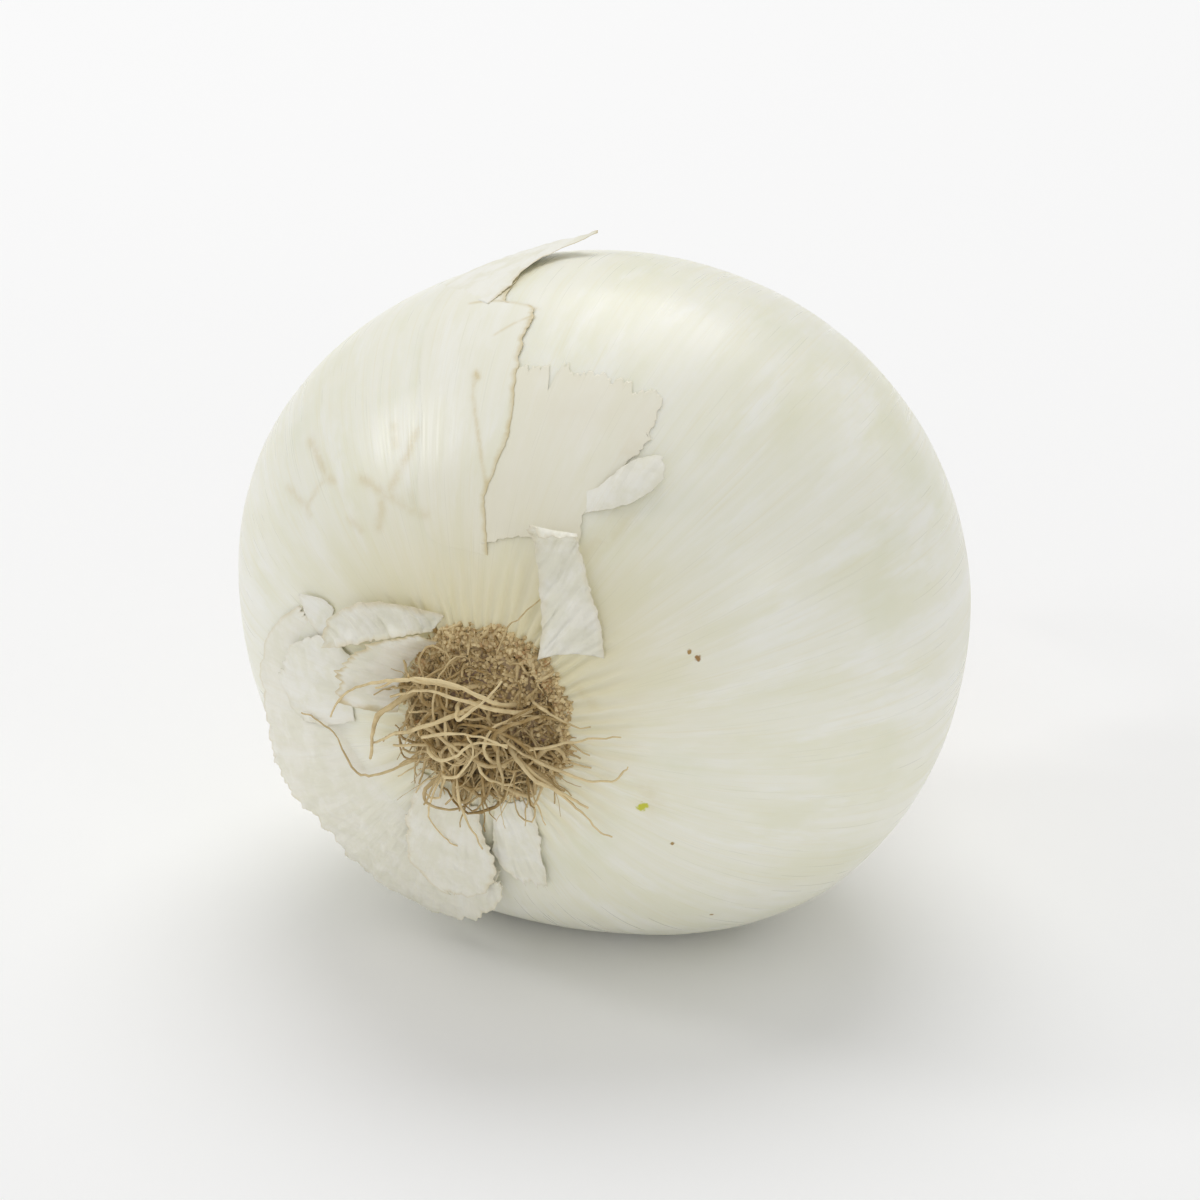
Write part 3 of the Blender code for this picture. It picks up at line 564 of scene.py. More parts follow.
def flesh_tree():
    """Raises pleats, wrinkles, dents and veins on a plain bulb, and cuts it flat where it rests."""
    tree, given = new_tree("onion_relief", [
        ("Pleats", "Float"), ("Pleat Depth", "Float"), ("Wave Height", "Float"), ("Wave Size", "Float"),
        ("Vein Height", "Float"), ("Wrinkles", "Float"), ("Wrinkle Depth", "Float"), ("Seed", "Float"),
        ("Material", "Material"),
    ])

    def named(label, kind="FLOAT"):
        return node(tree, "GeometryNodeInputNamedAttribute", {"Name": label}, data_type=kind).outputs[0]

    clock, polar, grain = named("clock"), named("polar"), named("grain", "FLOAT_VECTOR")
    position = node(tree, "GeometryNodeInputPosition").outputs[0]
    wobble = node(tree, "ShaderNodeTexNoise", {
        "Vector": grain, "W": given["Seed"], "Scale": 0.16, "Detail": 1.0}, noise_dimensions="4D").outputs[0]
    phase = calc(tree, "MULTIPLY_ADD", clock, given["Pleats"], calc(tree, "MULTIPLY", wobble, 9.0))
    fold = calc(tree, "COSINE", phase)
    reach = calc(tree, "MULTIPLY_ADD", wobble, math.radians(22), math.radians(25))
    near_root = ramp(tree, polar, reach, math.radians(17))
    pleats = calc(tree, "MULTIPLY", calc(tree, "MULTIPLY", fold, near_root), given["Pleat Depth"])
    valley = calc(tree, "MULTIPLY", calc(tree, "MULTIPLY_ADD", fold, -0.5, 0.5), near_root)
    near_neck = ramp(tree, polar, math.radians(128), math.radians(166))
    wrinkle = calc(tree, "COSINE", calc(tree, "MULTIPLY_ADD", clock, given["Wrinkles"],
                                        calc(tree, "MULTIPLY", wobble, 4.0)))
    wrinkles = calc(tree, "MULTIPLY", calc(tree, "MULTIPLY", wrinkle, near_neck), given["Wrinkle Depth"])
    spaced = node(tree, "ShaderNodeVectorMath", {0: position, 1: given["Wave Size"]}, operation="DIVIDE").outputs[0]
    dents = node(tree, "ShaderNodeTexNoise", {
        "Vector": spaced, "W": given["Seed"], "Scale": 1.0, "Detail": 1.5}, noise_dimensions="4D").outputs[0]
    waves = calc(tree, "MULTIPLY", calc(tree, "SUBTRACT", dents, 0.5), given["Wave Height"])
    drawn = node(tree, "ShaderNodeVectorMath", {0: grain, 1: (0.7, 0.7, 0.04)}, operation="MULTIPLY").outputs[0]
    vein = node(tree, "ShaderNodeTexNoise", {
        "Vector": drawn, "W": given["Seed"], "Scale": 1.0, "Detail": 2.0}, noise_dimensions="4D").outputs[0]
    veins = calc(tree, "MULTIPLY", calc(tree, "SUBTRACT", vein, 0.5), given["Vein Height"])
    lift = calc(tree, "ADD", calc(tree, "ADD", pleats, wrinkles), calc(tree, "ADD", waves, veins))
    away = node(tree, "ShaderNodeVectorMath", {
        0: node(tree, "GeometryNodeInputNormal").outputs[0], "Scale": lift}, operation="SCALE").outputs[0]
    raised = node(tree, "GeometryNodeSetPosition", {"Geometry": given["Geometry"], "Offset": away})
    parts = node(tree, "ShaderNodeSeparateXYZ", {0: position})
    flat = node(tree, "ShaderNodeCombineXYZ", {
        0: parts.outputs[0], 1: parts.outputs[1], 2: calc(tree, "MAXIMUM", parts.outputs[2], 0.0)})
    rested = node(tree, "GeometryNodeSetPosition", {"Geometry": raised.outputs[0], "Position": flat.outputs[0]})
    kept = node(tree, "GeometryNodeStoreNamedAttribute", {
        "Geometry": rested.outputs[0], "Name": "valley", "Value": valley}, data_type="FLOAT", domain="POINT")
    end_tree(tree, given, kept.outputs[0])
    return tree


def flesh_mesh(s):
    """The plain bulb: rings from the middle of the root's seat to the middle of the neck's end."""
    steps = np.concatenate([[0], np.cumsum(np.hypot(*np.diff(MERIDIAN, axis=0).T))])
    polar = np.interp(np.linspace(0, steps[-1], s.along + 1), steps, MERIDIAN_POLAR)
    clock = np.arange(s.around) * math.tau / s.around
    clocks, polars = np.meshgrid(clock, polar)
    body = direction(clocks, polars) * plain_reach(clocks, polars)[..., None]
    rings, ring_polar = [], []
    seat = -ROOT_RIM + SEAT_DEPTH
    for share, along in ((0.35, seat), (0.88, seat), (0.95, seat + 0.5 * (-ROOT_RIM - seat)), (0.97, -ROOT_RIM)):
        ring = body[0] * (share, 0, share)
        ring[:, 1] = along
        rings.append(ring)
    tail = []
    for share, along in ((0.7, NECK_END), (0.3, NECK_END)):
        ring = body[-1] * (share, 0, share)
        ring[:, 1] = along
        tail.append(ring)
    all_rings = [*rings, *body, *tail]
    ring_polar = [polar[0]] * len(rings) + list(polar) + [polar[-1]] * len(tail)
    points = np.concatenate(all_rings)
    faces = [tuple(f) for f in grid_faces(len(all_rings), s.around, ring=True)[:, ::-1]]
    first, last = len(points), len(points) + 1
    points = np.vstack([points, (0, seat, 0), (0, NECK_END, 0)])
    final = (len(all_rings) - 1) * s.around
    for j in range(s.around):
        k = (j + 1) % s.around
        faces.append((first, j, k))
        faces.append((last, final + k, final + j))
    clock_all = np.concatenate([np.tile(clock, len(all_rings)), [0, 0]])
    polar_all = np.concatenate([np.repeat(ring_polar, s.around), [polar[0], polar[-1]]])
    mesh = mesh_from("bulb_flesh", points + MIDDLE, faces)
    store(mesh, "clock", clock_all)
    store(mesh, "polar", polar_all)
    store(mesh, "grain", grain_on_bulb(clock_all, polar_all))
    store(mesh, "stain_and_shade", stain_and_shade_at(clock_all, polar_all))
    return mesh


def grain_on_bulb(clock, polar):
    """The grain of the bulb in mm: round it in the first two numbers, along it in the third."""
    return np.stack([41 * np.sin(clock), 41 * np.cos(clock), 41 * polar], -1)


class ONION_OT_flesh(bpy.types.Operator):
    """Make the fleshy bulb with its pleats, dents and veins"""

    bl_idname = "onion.flesh"
    bl_label = "Flesh"

    def execute(self, context):
        s = context.scene.onion_flesh
        bulb = link_object("bulb_flesh", flesh_mesh(s))
        grow(bulb, flesh_tree(), {
            "Pleats": float(s.pleats), "Pleat Depth": s.pleat_depth, "Wave Height": s.wave_height,
            "Wave Size": s.wave_size, "Vein Height": s.vein_height, "Wrinkles": float(s.wrinkles),
            "Wrinkle Depth": s.wrinkle_depth, "Seed": float(s.seed), "Material": flesh_material(s),
        })
        finish_piece(bulb, ["bulb"])
        return {"FINISHED"}


# ---- skin ----


class Ground:
    """The finished flesh, which everything on it is measured from."""

    def __init__(self):
        mesh = bpy.data.objects["bulb_flesh"].data
        self.tree = BVHTree.FromPolygons([v.co for v in mesh.vertices], [tuple(f.vertices) for f in mesh.polygons])

    def points(self, clock, polar, lift):
        """Points at those angles, in radians, and that far off the flesh, in metres."""
        shape = np.shape(clock)
        rays = direction(np.ravel(clock), np.ravel(polar))
        far = 0.1
        made = np.empty((len(rays), 3))
        for i, (ray, raised) in enumerate(zip(rays, np.ravel(lift))):
            hit = self.tree.ray_cast(Vector(MIDDLE + ray * far), Vector(-ray))[3]
            made[i] = MIDDLE + ray * (far - hit + raised)
        return made.reshape(*shape, 3)


def edge_at(points, share):
    """A point on the smooth line through the given ones, also a little beyond its ends."""
    line = spline(points, 12)
    steps = np.linspace(0, 1, len(line))
    made = np.stack([np.interp(share, steps, line[:, k]) for k in range(3)], -1)
    before = np.minimum(share, 0)[..., None] * (line[1] - line[0]) * (len(line) - 1)
    after = np.maximum(share - 1, 0)[..., None] * (line[-1] - line[-2]) * (len(line) - 1)
    return made + before + after


def skin_grid(ground, first, second, rows, columns, tears, curl, crumple, hollow, seed):
    """Points, torn-edge distance in mm and angles of one sheet between two lines of (clock, polar, lift).

    tears gives how ragged, in mm, the first line, the second line, the start and the end are; None
    means that the edge is held and not torn. curl lifts the torn edges, and hollow sinks the middle
    between the two lines, both in mm.
    """
    t = np.linspace(0, 1, rows)
    s = (1 - np.cos(np.linspace(0, math.pi, columns))) / 2
    s = 0.5 * s + 0.5 * np.linspace(0, 1, columns)
    length = BULB_SIZE * np.radians(np.hypot(*np.diff(spline(first, 12)[:, :2], axis=0).T)).sum()
    middles = np.array(first[len(first) // 2]) - np.array(second[len(second) // 2])
    width = BULB_SIZE * np.radians(np.hypot(*middles[:2]))
    a, b, start, end = [(0 if tear is None else tear) for tear in tears]
    calm_t, calm_s = np.minimum(1, 9 * np.minimum(t, 1 - t)), np.minimum(1, 7 * np.minimum(s, 1 - s))
    low = a / width * calm_t * rough_line(t * length / 2.2, seed)
    high = b / width * calm_t * rough_line(t * length / 2.2, seed + 1)
    begin = start / length * calm_s * rough_line(s * width / 2.0, seed + 2)
    finish = end / length * calm_s * rough_line(s * width / 2.0, seed + 3)
    near_a, near_b = np.exp(-s * width / (3 * a + 0.5)), np.exp(-(1 - s) * width / (3 * b + 0.5))
    near_start, near_end = np.exp(-t * length / (3 * start + 0.5)), np.exp(-(1 - t) * length / (3 * end + 0.5))
    share = t[:, None] + near_start[:, None] * begin[None, :] + near_end[:, None] * finish[None, :]
    across = s[None, :] + low[:, None] * near_a[None, :] + high[:, None] * near_b[None, :]
    edge_a = edge_at(first, share)
    edge_b = edge_at(second, share)
    mixed = edge_a + (edge_b - edge_a) * across[..., None]
    clock, polar, lift = np.radians(mixed[..., 0]), np.radians(mixed[..., 1]), mixed[..., 2] * MM
    flat = ground.points(clock, polar, lift)
    run_t = np.concatenate([np.zeros((1, columns)), np.cumsum(np.linalg.norm(np.diff(flat, axis=0), axis=-1), 0)])
    run_s = np.concatenate(
        [np.zeros((rows, 1)), np.cumsum(np.linalg.norm(np.diff(flat, axis=1), axis=-1), 1)], axis=1)
    far = np.full_like(run_t, 0.05)
    sides = [run_s, run_s[:, -1:] - run_s, run_t, run_t[-1:] - run_t]
    edge = np.min([far if tear is None else side for side, tear in zip(sides, tears)], axis=0)
    bumps = rough_field(flat, 3.2 * MM, seed, 3).reshape(rows, columns)
    folds = rough_field(grain_on_bulb(clock, polar) * (1, 1, 0.25), 3.0, seed, 3).reshape(rows, columns)
    fray = np.exp(-edge / (0.9 * MM))
    loose = np.clip(lift / (0.4 * MM), 0, 1)
    raised = lift + loose * crumple * MM * (0.5 * np.abs(bumps) + 0.8 * np.abs(folds))
    raised = raised + curl * MM * fray * (0.6 + 0.5 * bumps) - loose * hollow * MM * np.sin(math.pi * s)[None, :]
    raised = np.where(lift < 0, lift, np.maximum(raised, 0.02 * MM))
    points = ground.points(clock, polar, raised)
    return points, edge / MM, clock, polar


def make_skin(name, rows_of_points, marks, thickness, surface, ring=False):
    """One piece of skin from its grid of points; marks are the values kept for each of its points."""
    rows, columns = rows_of_points.shape[:2]
    flat = rows_of_points.reshape(-1, 3)
    faces = grid_faces(rows, columns, ring)
    corner = flat[faces[len(faces) // 2]]
    facing = np.cross(corner[1] - corner[0], corner[3] - corner[0])
    if facing @ (corner[0] - MIDDLE) < 0:
        faces = faces[:, ::-1]
    mesh = mesh_from(name, flat, faces)
    for label, values in marks.items():
        vector = label == "grain"
        store(mesh, label, np.reshape(values, (-1, 3)) if vector else
              np.broadcast_to(values, (rows, columns)).ravel())
    obj = link_object(name, mesh)
    with_thickness(obj, thickness, surface)
    return obj


def skin_material(s, name, roughness=0.42):
    """Dry papery skin: bleached to warm, with fibres along its grain and browned torn edges."""
    made, tree, shader = new_material(name, roughness, 0.4, coat=0.05)
    fibres = grain_noise(tree, 0.35, 12, 2.0, 0.65)
    streaks = grain_noise(tree, 1.5, 26, 3.0, 0.6, 5.0)
    clouds = place_noise(tree, 3.5 * MM, 4.0, 0.6, 0.9)
    tone = node(tree, "ShaderNodeAttribute", attribute_name="tone").outputs["Fac"]
    share = calc(tree, "ADD", tone, calc(tree, "MULTIPLY_ADD", streaks, 0.9, -0.45), clamp=True)
    colour = blend_colour(tree, share, s.light, s.warm)
    colour = blend_colour(tree, ramp(tree, clouds, 0.40, 0.62, 0.0, 0.75), colour, s.sheer)
    colour = blend_colour(tree, ramp(tree, fibres, 0.56, 0.72, 0.0, 0.35), colour, s.warm)
    aged = node(tree, "ShaderNodeAttribute", attribute_name="aged").outputs["Fac"]
    tan = ramp(tree, calc(tree, "MULTIPLY_ADD", fibres, 0.5, streaks), 0.5, 0.85, 0.25, 0.95)
    colour = blend_colour(tree, calc(tree, "MULTIPLY", aged, tan), colour, s.edge)
    tree.links.new(torn_colour(tree, colour, s.edge), shader.inputs["Base Color"])
    tree.links.new(ramp(tree, fibres, 0.3, 0.7, roughness - 0.08, roughness + 0.1), shader.inputs["Roughness"])
    height = calc(tree, "MULTIPLY_ADD", fibres, 0.7, calc(tree, "MULTIPLY", streaks, 0.8))
    bump(tree, shader, height, 0.12 * MM, 0.6)
    return made


# Skin that lies on the flesh. Each row: name, the first line and the second line as points of (clock,
# polar, lift) in degrees and mm, rows, columns, how torn the first line, the second line, the start
# and the end are in mm, or None where the edge is held, warmth, how brown its tears are, and seed.
# A lift below 0 sinks an edge into the flesh, so that it doesn't show
LAID_SKINS = [
    ("skin_patch",
     [(-7, 34, .09), (-9, 42, .09), (-8, 50, .09), (-7, 57, .09), (-7, 66, .09)],
     [(23, 39.5, .09), (20, 46, .09), (22, 53, .08), (24, 60, .06), (22, 68, .06)],
     130, 90, (None, 0.8, 0.5, 2.6), 0.9, 0.1, 22),
    ("skin_left",
     [(-4, 30, -.25), (-5, 34, .1), (-6.9, 40.5, .14), (-6.8, 44, .14), (-4.5, 50.3, .14), (-4, 56.6, .14),
      (-5.8, 65.7, .14), (-6.7, 72.6, .14), (-6.5, 77, .14), (-8, 79.5, .12), (-13, 81, .1), (-13.5, 88, .07),
      (-17, 100, .05), (-20, 124, .03)],
     [(-70, 30, -.4), (-70, 60, -.4), (-70, 92, -.4), (-70, 124, -.4)],
     240, 120, (0.35, None, None, None), 0.15, 1.0, 33),
]


class ONION_OT_laid_skin(bpy.types.Operator):
    """Make the torn sheets of skin that lie on the flesh"""

    bl_idname = "onion.laid_skin"
    bl_label = "Laid skin"

    def execute(self, context):
        s = context.scene.onion_skin
        ground = Ground()
        surface = laid_material(context.scene.onion_flesh, s)
        for name, first, second, rows, columns, tears, tone, brown, seed in LAID_SKINS:
            points, edge, clock, polar = skin_grid(ground, first, second, rows, columns, tears, 0.03, 0, 0, seed)
            marks = {"grain": grain_on_bulb(clock, polar), "edge": edge, "tone": tone, "brown": brown,
                     "stain_and_shade": stain_and_shade_at(clock, polar)}
            piece = make_skin(name, points, marks, s.laid_thickness, surface)
            finish_piece(piece)
        return {"FINISHED"}


class ONION_OT_neck_skin(bpy.types.Operator):
    """Make the papery skin that wraps the neck"""

    bl_idname = "onion.neck_skin"
    bl_label = "Neck skin"

    def execute(self, context):
        s = context.scene.onion_skin
        ground = Ground()
        columns, rows = 220, 70
        clock = np.arange(columns) * math.tau / columns
        ring = np.stack([np.sin(clock), np.cos(clock)], -1) * 12
        wide = np.array([noise.fractal(Vector((*p, 3.1)), 0.9, 2.0, 3) for p in ring / 5.0])
        fine = np.array([noise.fractal(Vector((*p, 7.7)), 0.7, 2.1, 4) for p in ring / 1.1])
        start = np.radians(124 + 9 * wide + 2.2 * fine)
        end = np.radians(174.0)
        share = np.linspace(0, 1, rows)[:, None]
        polar = start[None, :] + (end - start)[None, :] * share
        clocks = np.broadcast_to(clock, polar.shape)
        flat = direction(clocks, polar) * plain_reach(clocks, polar)[..., None]
        folds = np.array([noise.fractal(Vector((*(q * 0.55), 1.0)), 0.8, 2.0, 4) for q in ring])
        near_neck = np.clip((np.degrees(polar) - 120) / 45, 0, 1)
        lift = 0.03 + 0.5 * near_neck * np.abs(folds)[None, :]
        run = 41 * (polar - start[None, :])
        points = ground.points(clocks, polar, lift * MM)
        tone = 0.25 + 0.5 * near_neck
        aged = np.clip((np.degrees(polar) - 146) / 24, 0, 1) ** 1.5
        marks = {"grain": grain_on_bulb(clocks, polar), "edge": run, "tone": tone, "brown": 0.25, "aged": aged}
        piece = make_skin("skin_neck", points, marks, s.laid_thickness, skin_material(s, "neck_skin"), ring=True)
        finish_piece(piece)
        return {"FINISHED"}


# Loose flaps. Each row: name of the piece and of the solid it stands for, if any, the two lines as
# points of (clock, polar, lift) in degrees and mm from the held end to the free end, rows, columns,
# tears, curl, crumple, hollow, warmth, how brown its tears are, and seed
FLAPS = [
    ("flap_upright", "skin_flap_upright",
     [(36, 17.5, .1), (29, 22.5, 1.1), (22.5, 27.2, 2.0), (17, 31.5, 2.5), (12.5, 35.5, 2.8), (10, 37.5, 3.3),
      (11.5, 38, 4.1), (14.5, 36.6, 4.4)],
     [(56, 27.5, .1), (46, 30, .4), (38, 32.5, .8), (31, 35, 1.2), (25, 38.3, 1.6), (22.5, 39.6, 1.9), (22, 40.2, 2.3),
      (23, 39.8, 2.8)],
     90, 40, (0.5, 0.6, None, 0.9), 0.2, 0.8, 0.9, 0.3, 0.35, 41),
    ("flap_folded", "skin_flap_folded",
     [(-27, 21.5, .1), (-42, 26, .8), (-55, 31, 1.4), (-66, 34.5, 1.8), (-77, 36, 1.7)],
     [(-37, 19.5, .3), (-50, 21.5, 1.2), (-63, 25, 1.9), (-73, 29.5, 2.3), (-80, 35, 2.0)],
     70, 34, (0.35, 0.45, None, 0.5), 0.15, 0.7, 0.5, 0.3, 0.6, 42),
    ("skin_cup", "skin_collar",
     [(-34, 17.0, .2), (-46, 17.6, .3), (-58, 17.8, .4), (-74, 18.0, .4), (-97, 18.5, .2)],
     [(-38, 19.5, 2.4), (-48, 21, 3.8), (-60, 23.5, 4.2), (-76, 26.5, 4.0), (-95, 29.5, 2.2)],
     80, 34, (None, 0.5, 0.3, 0.4), 0.15, 0.8, -0.5, 0.4, 1.0, 43),
    ("skin_rags", "skin_ragged_edge",
     [(-82, 40, -.3), (-94, 36, -.3), (-110, 33, -.3), (-126, 31, -.3), (-142, 30, -.3), (-158, 29, -.3),
      (-176, 30, -.3)],
     [(-77, 46, .1), (-97, 58, .3), (-113, 61, .9), (-122, 61, 1.8), (-131, 58, 1.6), (-140, 61, 1.6), (-147, 67, 2.0),
      (-158, 68, 2.1), (-168, 58, 1.8), (-178, 44, 1.4)],
     250, 80, (None, 1.9, 0.8, 1.3), 0.12, 0.55, 0.0, 0.45, 0.4, 44),
    ("rag_low", None,
     [(154, 18, .05), (158, 25, .15), (164, 32, .3), (169, 42, .45)],
     [(178, 18.5, .05), (181, 26, .15), (183, 33, .25), (178, 41, .4)],
     60, 40, (0.8, 0.8, None, 1.3), 0.12, 0.45, 0.0, 0.1, 0.3, 51),
    ("rag_under", None,
     [(-134, 20, .1), (-142, 27, .8), (-148, 36, 1.2), (-154, 44, 1.5), (-162, 48, 1.8)],
     [(-172, 21, .1), (-176, 28, .8), (-178, 36, 1.1), (-174, 43, 1.5), (-168, 47, 1.7)],
     80, 44, (1.0, 0.8, None, 1.2), 0.12, 0.5, 0.0, 0.4, 0.5, 52),
    ("rag_left", None,
     [(-80, 31, .1), (-78, 36, .4), (-82, 41, .5), (-88, 46, .5)],
     [(-106, 31, .1), (-108, 38, .4), (-107, 45, .6), (-99, 50, .6)],
     60, 36, (0.6, 0.7, None, 0.9), 0.12, 0.45, 0.0, 0.15, 0.2, 53),
    ("rag_point", None,
     [(-70, 38, .05), (-70, 41, .2), (-73.5, 46, .5)],
     [(-82, 38, .05), (-79, 42, .2), (-74.5, 46.2, .5)],
     36, 16, (0.3, 0.3, None, 0.2), 0.1, 0.3, 0.0, 0.0, 0.2, 54),
    ("skin_sliver", "skin_sliver_top",
     [(-31, 90, -.15), (-27, 97, .1), (-22, 100.5, .4), (-15, 102.3, .9), (-9, 102, 1.6), (-4.5, 100, 2.5)],
     [(-16, 80.5, .03), (-14, 84, .2), (-12.9, 90, .4), (-10, 95.5, .9), (-6.5, 98, 1.6), (-4.3, 99.3, 2.4)],
     70, 30, (None, 0.25, None, 0.1), 0.08, 0.3, 0.2, 0.0, 0.7, 45),
    ("flap_tongue", "skin_tongue",
     [(16, 47, -.15), (20.2, 49.5, .2), (22.1, 53.3, .5), (25, 57, .8), (28.5, 58.8, 1.0)],
     [(17, 43, -.15), (24, 46.4, .2), (28, 49.3, .4), (30.2, 52.4, .7), (31.2, 56, .9)],
     50, 30, (0.3, 0.25, None, 0.5), 0.1, 0.3, -0.3, 0.2, 0.1, 46),
    ("strip_neck_right", "skin_strip_neck_right",
     [(92, 151, -.1), (95, 141, .15), (93, 131, .35), (89, 122, .7)],
     [(112, 151, -.1), (110, 140, .15), (103, 129, .35), (95, 121, .65)],
     60, 24, (0.4, 0.4, None, 0.9), 0.1, 0.35, 0.3, 0.5, 0.6, 47),
    ("strip_neck_left", "skin_strip_neck_left",
     [(-66, 153, -.1), (-64, 143, .15), (-60, 132, .45), (-62, 122, .9)],
     [(-90, 151, -.1), (-86, 141, .15), (-76, 130, .45), (-68, 121, .85)],
     60, 24, (0.4, 0.4, None, 0.9), 0.1, 0.35, 0.3, 0.5, 0.6, 48),
]


class ONION_OT_flaps(bpy.types.Operator):
    """Make the loose flaps of torn skin"""

    bl_idname = "onion.flaps"
    bl_label = "Flaps"

    def execute(self, context):
        s = context.scene.onion_skin
        ground = Ground()
        surface = skin_material(s, "flap_skin")
        for name, solid, first, second, rows, columns, tears, curl, crumple, hollow, tone, brown, seed in FLAPS:
            points, edge, clock, polar = skin_grid(
                ground, first, second, rows, columns, tears, curl, crumple, hollow, seed)
            marks = {"grain": grain_on_bulb(clock, polar), "edge": edge, "tone": tone, "brown": brown}
            piece = make_skin(name, points, marks, s.thickness, surface)
            finish_piece(piece, [solid] if solid else [])
        return {"FINISHED"}


# ---- roots ----

PLATE_RADIUS = 8.6 * MM
PLATE_BASE = -30.0 * MM
PLATE_HEIGHT = 3.4 * MM
PLATE_DOME = 0.93
GOLDEN_ANGLE = math.pi * (3 - math.sqrt(5))


def dome_height(share):
    """Height of the plate's dome at that share of its radius."""
    return PLATE_HEIGHT * np.sqrt(1 - (PLATE_DOME * share) ** 2)


def plate_point(clock, share):
    """A point on the domed root plate."""
    across = PLATE_RADIUS * share
    return MIDDLE + np.array([
        across * math.sin(clock), PLATE_BASE - float(dome_height(share)), across * math.cos(clock)])


def cork_material(s):
    """Dull granular cork, pinkish brown above, dark and olive under the roots, that dark partly the cork's colour and
    partly painted shade in the gaps between the roots, straw at its crumbly rim.
    """
    made, tree, shader = new_material("root_cork", 0.9, 0.2)
    grains = place_noise(tree, 0.8 * MM, 4.0, 0.65)
    patches = place_noise(tree, 4 * MM, 2.0, 0.5, 0.4)
    colour = blend_colour(tree, ramp(tree, grains, 0.35, 0.62), [c * 0.55 for c in s.cork], s.cork)
    colour = blend_colour(tree, ramp(tree, patches, 0.45, 0.65, 0.0, 0.6), colour, (0.42, 0.29, 0.24))
    upper = node(tree, "ShaderNodeAttribute", attribute_name="upper").outputs["Fac"]
    # Painted shade: the plate under the roots is darkened, partly as darker cork and partly for the shade in the gaps
    # between the roots
    dark_cork_and_shade = calc(tree, "MULTIPLY_ADD", upper, -0.75, 0.75)
    colour = blend_colour(tree, dark_cork_and_shade, colour, (0.20, 0.15, 0.07))
    rim = node(tree, "ShaderNodeAttribute", attribute_name="rim").outputs["Fac"]
    colour = blend_colour(tree, calc(tree, "MULTIPLY", rim, ramp(tree, grains, 0.3, 0.6, 0.3, 0.9)), colour, s.straw)
    tree.links.new(colour, shader.inputs["Base Color"])
    bump(tree, shader, grains, 0.5 * MM, 0.9)
    return made


def strand_material(s, name, dark):
    """Dry roots and crumbs: each straw to dark by its own tone, with dull patches."""
    made, tree, shader = new_material(name, 0.7, 0.3)
    tone = node(tree, "ShaderNodeAttribute", attribute_name="tone").outputs["Fac"]
    patches = place_noise(tree, 1.6 * MM, 3.0, 0.6)
    share = calc(tree, "ADD", tone, calc(tree, "MULTIPLY_ADD", patches, 1.4, -0.7), clamp=True)
    colour = blend_colour(tree, share, s.straw, dark)
    tree.links.new(colour, shader.inputs["Base Color"])
    bump(tree, shader, patches, 0.15 * MM, 0.7)
    return made


def strand_tree():
    """Turns lines into tapered, slightly kinked strands. Each line keeps its own width and tone."""
    tree, given = new_tree("onion_strands", [
        ("Radius", "Float"), ("Tip Share", "Float"), ("Kink Height", "Float"), ("Kink Size", "Float"),
        ("Sides", "Int"), ("Material", "Material"),
    ])
    lines = node(tree, "GeometryNodeMeshToCurve", {"Mesh": given["Geometry"]}).outputs[0]
    position = node(tree, "GeometryNodeInputPosition").outputs[0]
    spaced = node(tree, "ShaderNodeVectorMath", {0: position, 1: given["Kink Size"]}, operation="DIVIDE").outputs[0]
    shaken = node(tree, "ShaderNodeTexNoise", {"Vector": spaced, "Scale": 1.0, "Detail": 2.0}).outputs["Color"]
    centred = node(tree, "ShaderNodeVectorMath", {0: shaken, 1: (0.5, 0.5, 0.5)}, operation="SUBTRACT").outputs[0]
    along = node(tree, "GeometryNodeSplineParameter").outputs["Factor"]
    height = calc(tree, "MULTIPLY", given["Kink Height"], calc(tree, "POWER", along, 0.5))
    kink = node(tree, "ShaderNodeVectorMath", {0: centred, "Scale": height}, operation="SCALE").outputs[0]
    bent = node(tree, "GeometryNodeSetPosition", {"Geometry": lines, "Offset": kink}).outputs[0]
    width = node(tree, "GeometryNodeInputNamedAttribute", {"Name": "width"}, data_type="FLOAT").outputs[0]
    uneven = node(tree, "ShaderNodeTexNoise", {"Vector": spaced, "Scale": 2.5, "Detail": 1.0}).outputs[0]
    taper = ramp(tree, along, 0.0, 1.0, 1.0, given["Tip Share"])
    radius = calc(tree, "MULTIPLY", calc(tree, "MULTIPLY", taper, width), given["Radius"])
    radius = calc(tree, "MULTIPLY", radius, calc(tree, "MULTIPLY_ADD", uneven, 0.9, 0.55))
    circle = node(tree, "GeometryNodeCurvePrimitiveCircle", {"Resolution": given["Sides"], "Radius": 1.0})
    solid = node(tree, "GeometryNodeCurveToMesh", {
        "Curve": bent, "Profile Curve": circle.outputs[0], "Scale": radius, "Fill Caps": True})
    end_tree(tree, given, solid.outputs[0])
    return tree


def strands(name, paths, widths, tones, tree, values):
    """One piece of many strands that follow the given paths."""
    points, edges, width, tone = [], [], [], []
    for path, w, shade in zip(paths, widths, tones):
        first = len(points)
        points.extend(path)
        edges.extend((first + i, first + i + 1) for i in range(len(path) - 1))
        width.extend([w] * len(path))
        tone.extend([shade] * len(path))
    mesh = mesh_from(name, points, [], edges)
    store(mesh, "width", width)
    store(mesh, "tone", tone)
    obj = link_object(name, mesh)
    grow(obj, tree, values)
    return obj


def push_clear(ground, path, clearance):
    """Moves the points of a path off the flesh until they clear it."""
    made = []
    for point in path:
        offset = np.asarray(point, float) - MIDDLE
        distance = np.linalg.norm(offset)
        polar = math.atan2(math.hypot(offset[0], offset[2]), -offset[1])
        clock = math.atan2(offset[0], offset[2])
        if polar < MERIDIAN_POLAR[0]:
            made.append(MIDDLE + offset)
            continue
        surface = np.linalg.norm(ground.points(clock, polar, clearance) - MIDDLE)
        made.append(MIDDLE + offset * max(1.0, surface / distance))
    return made


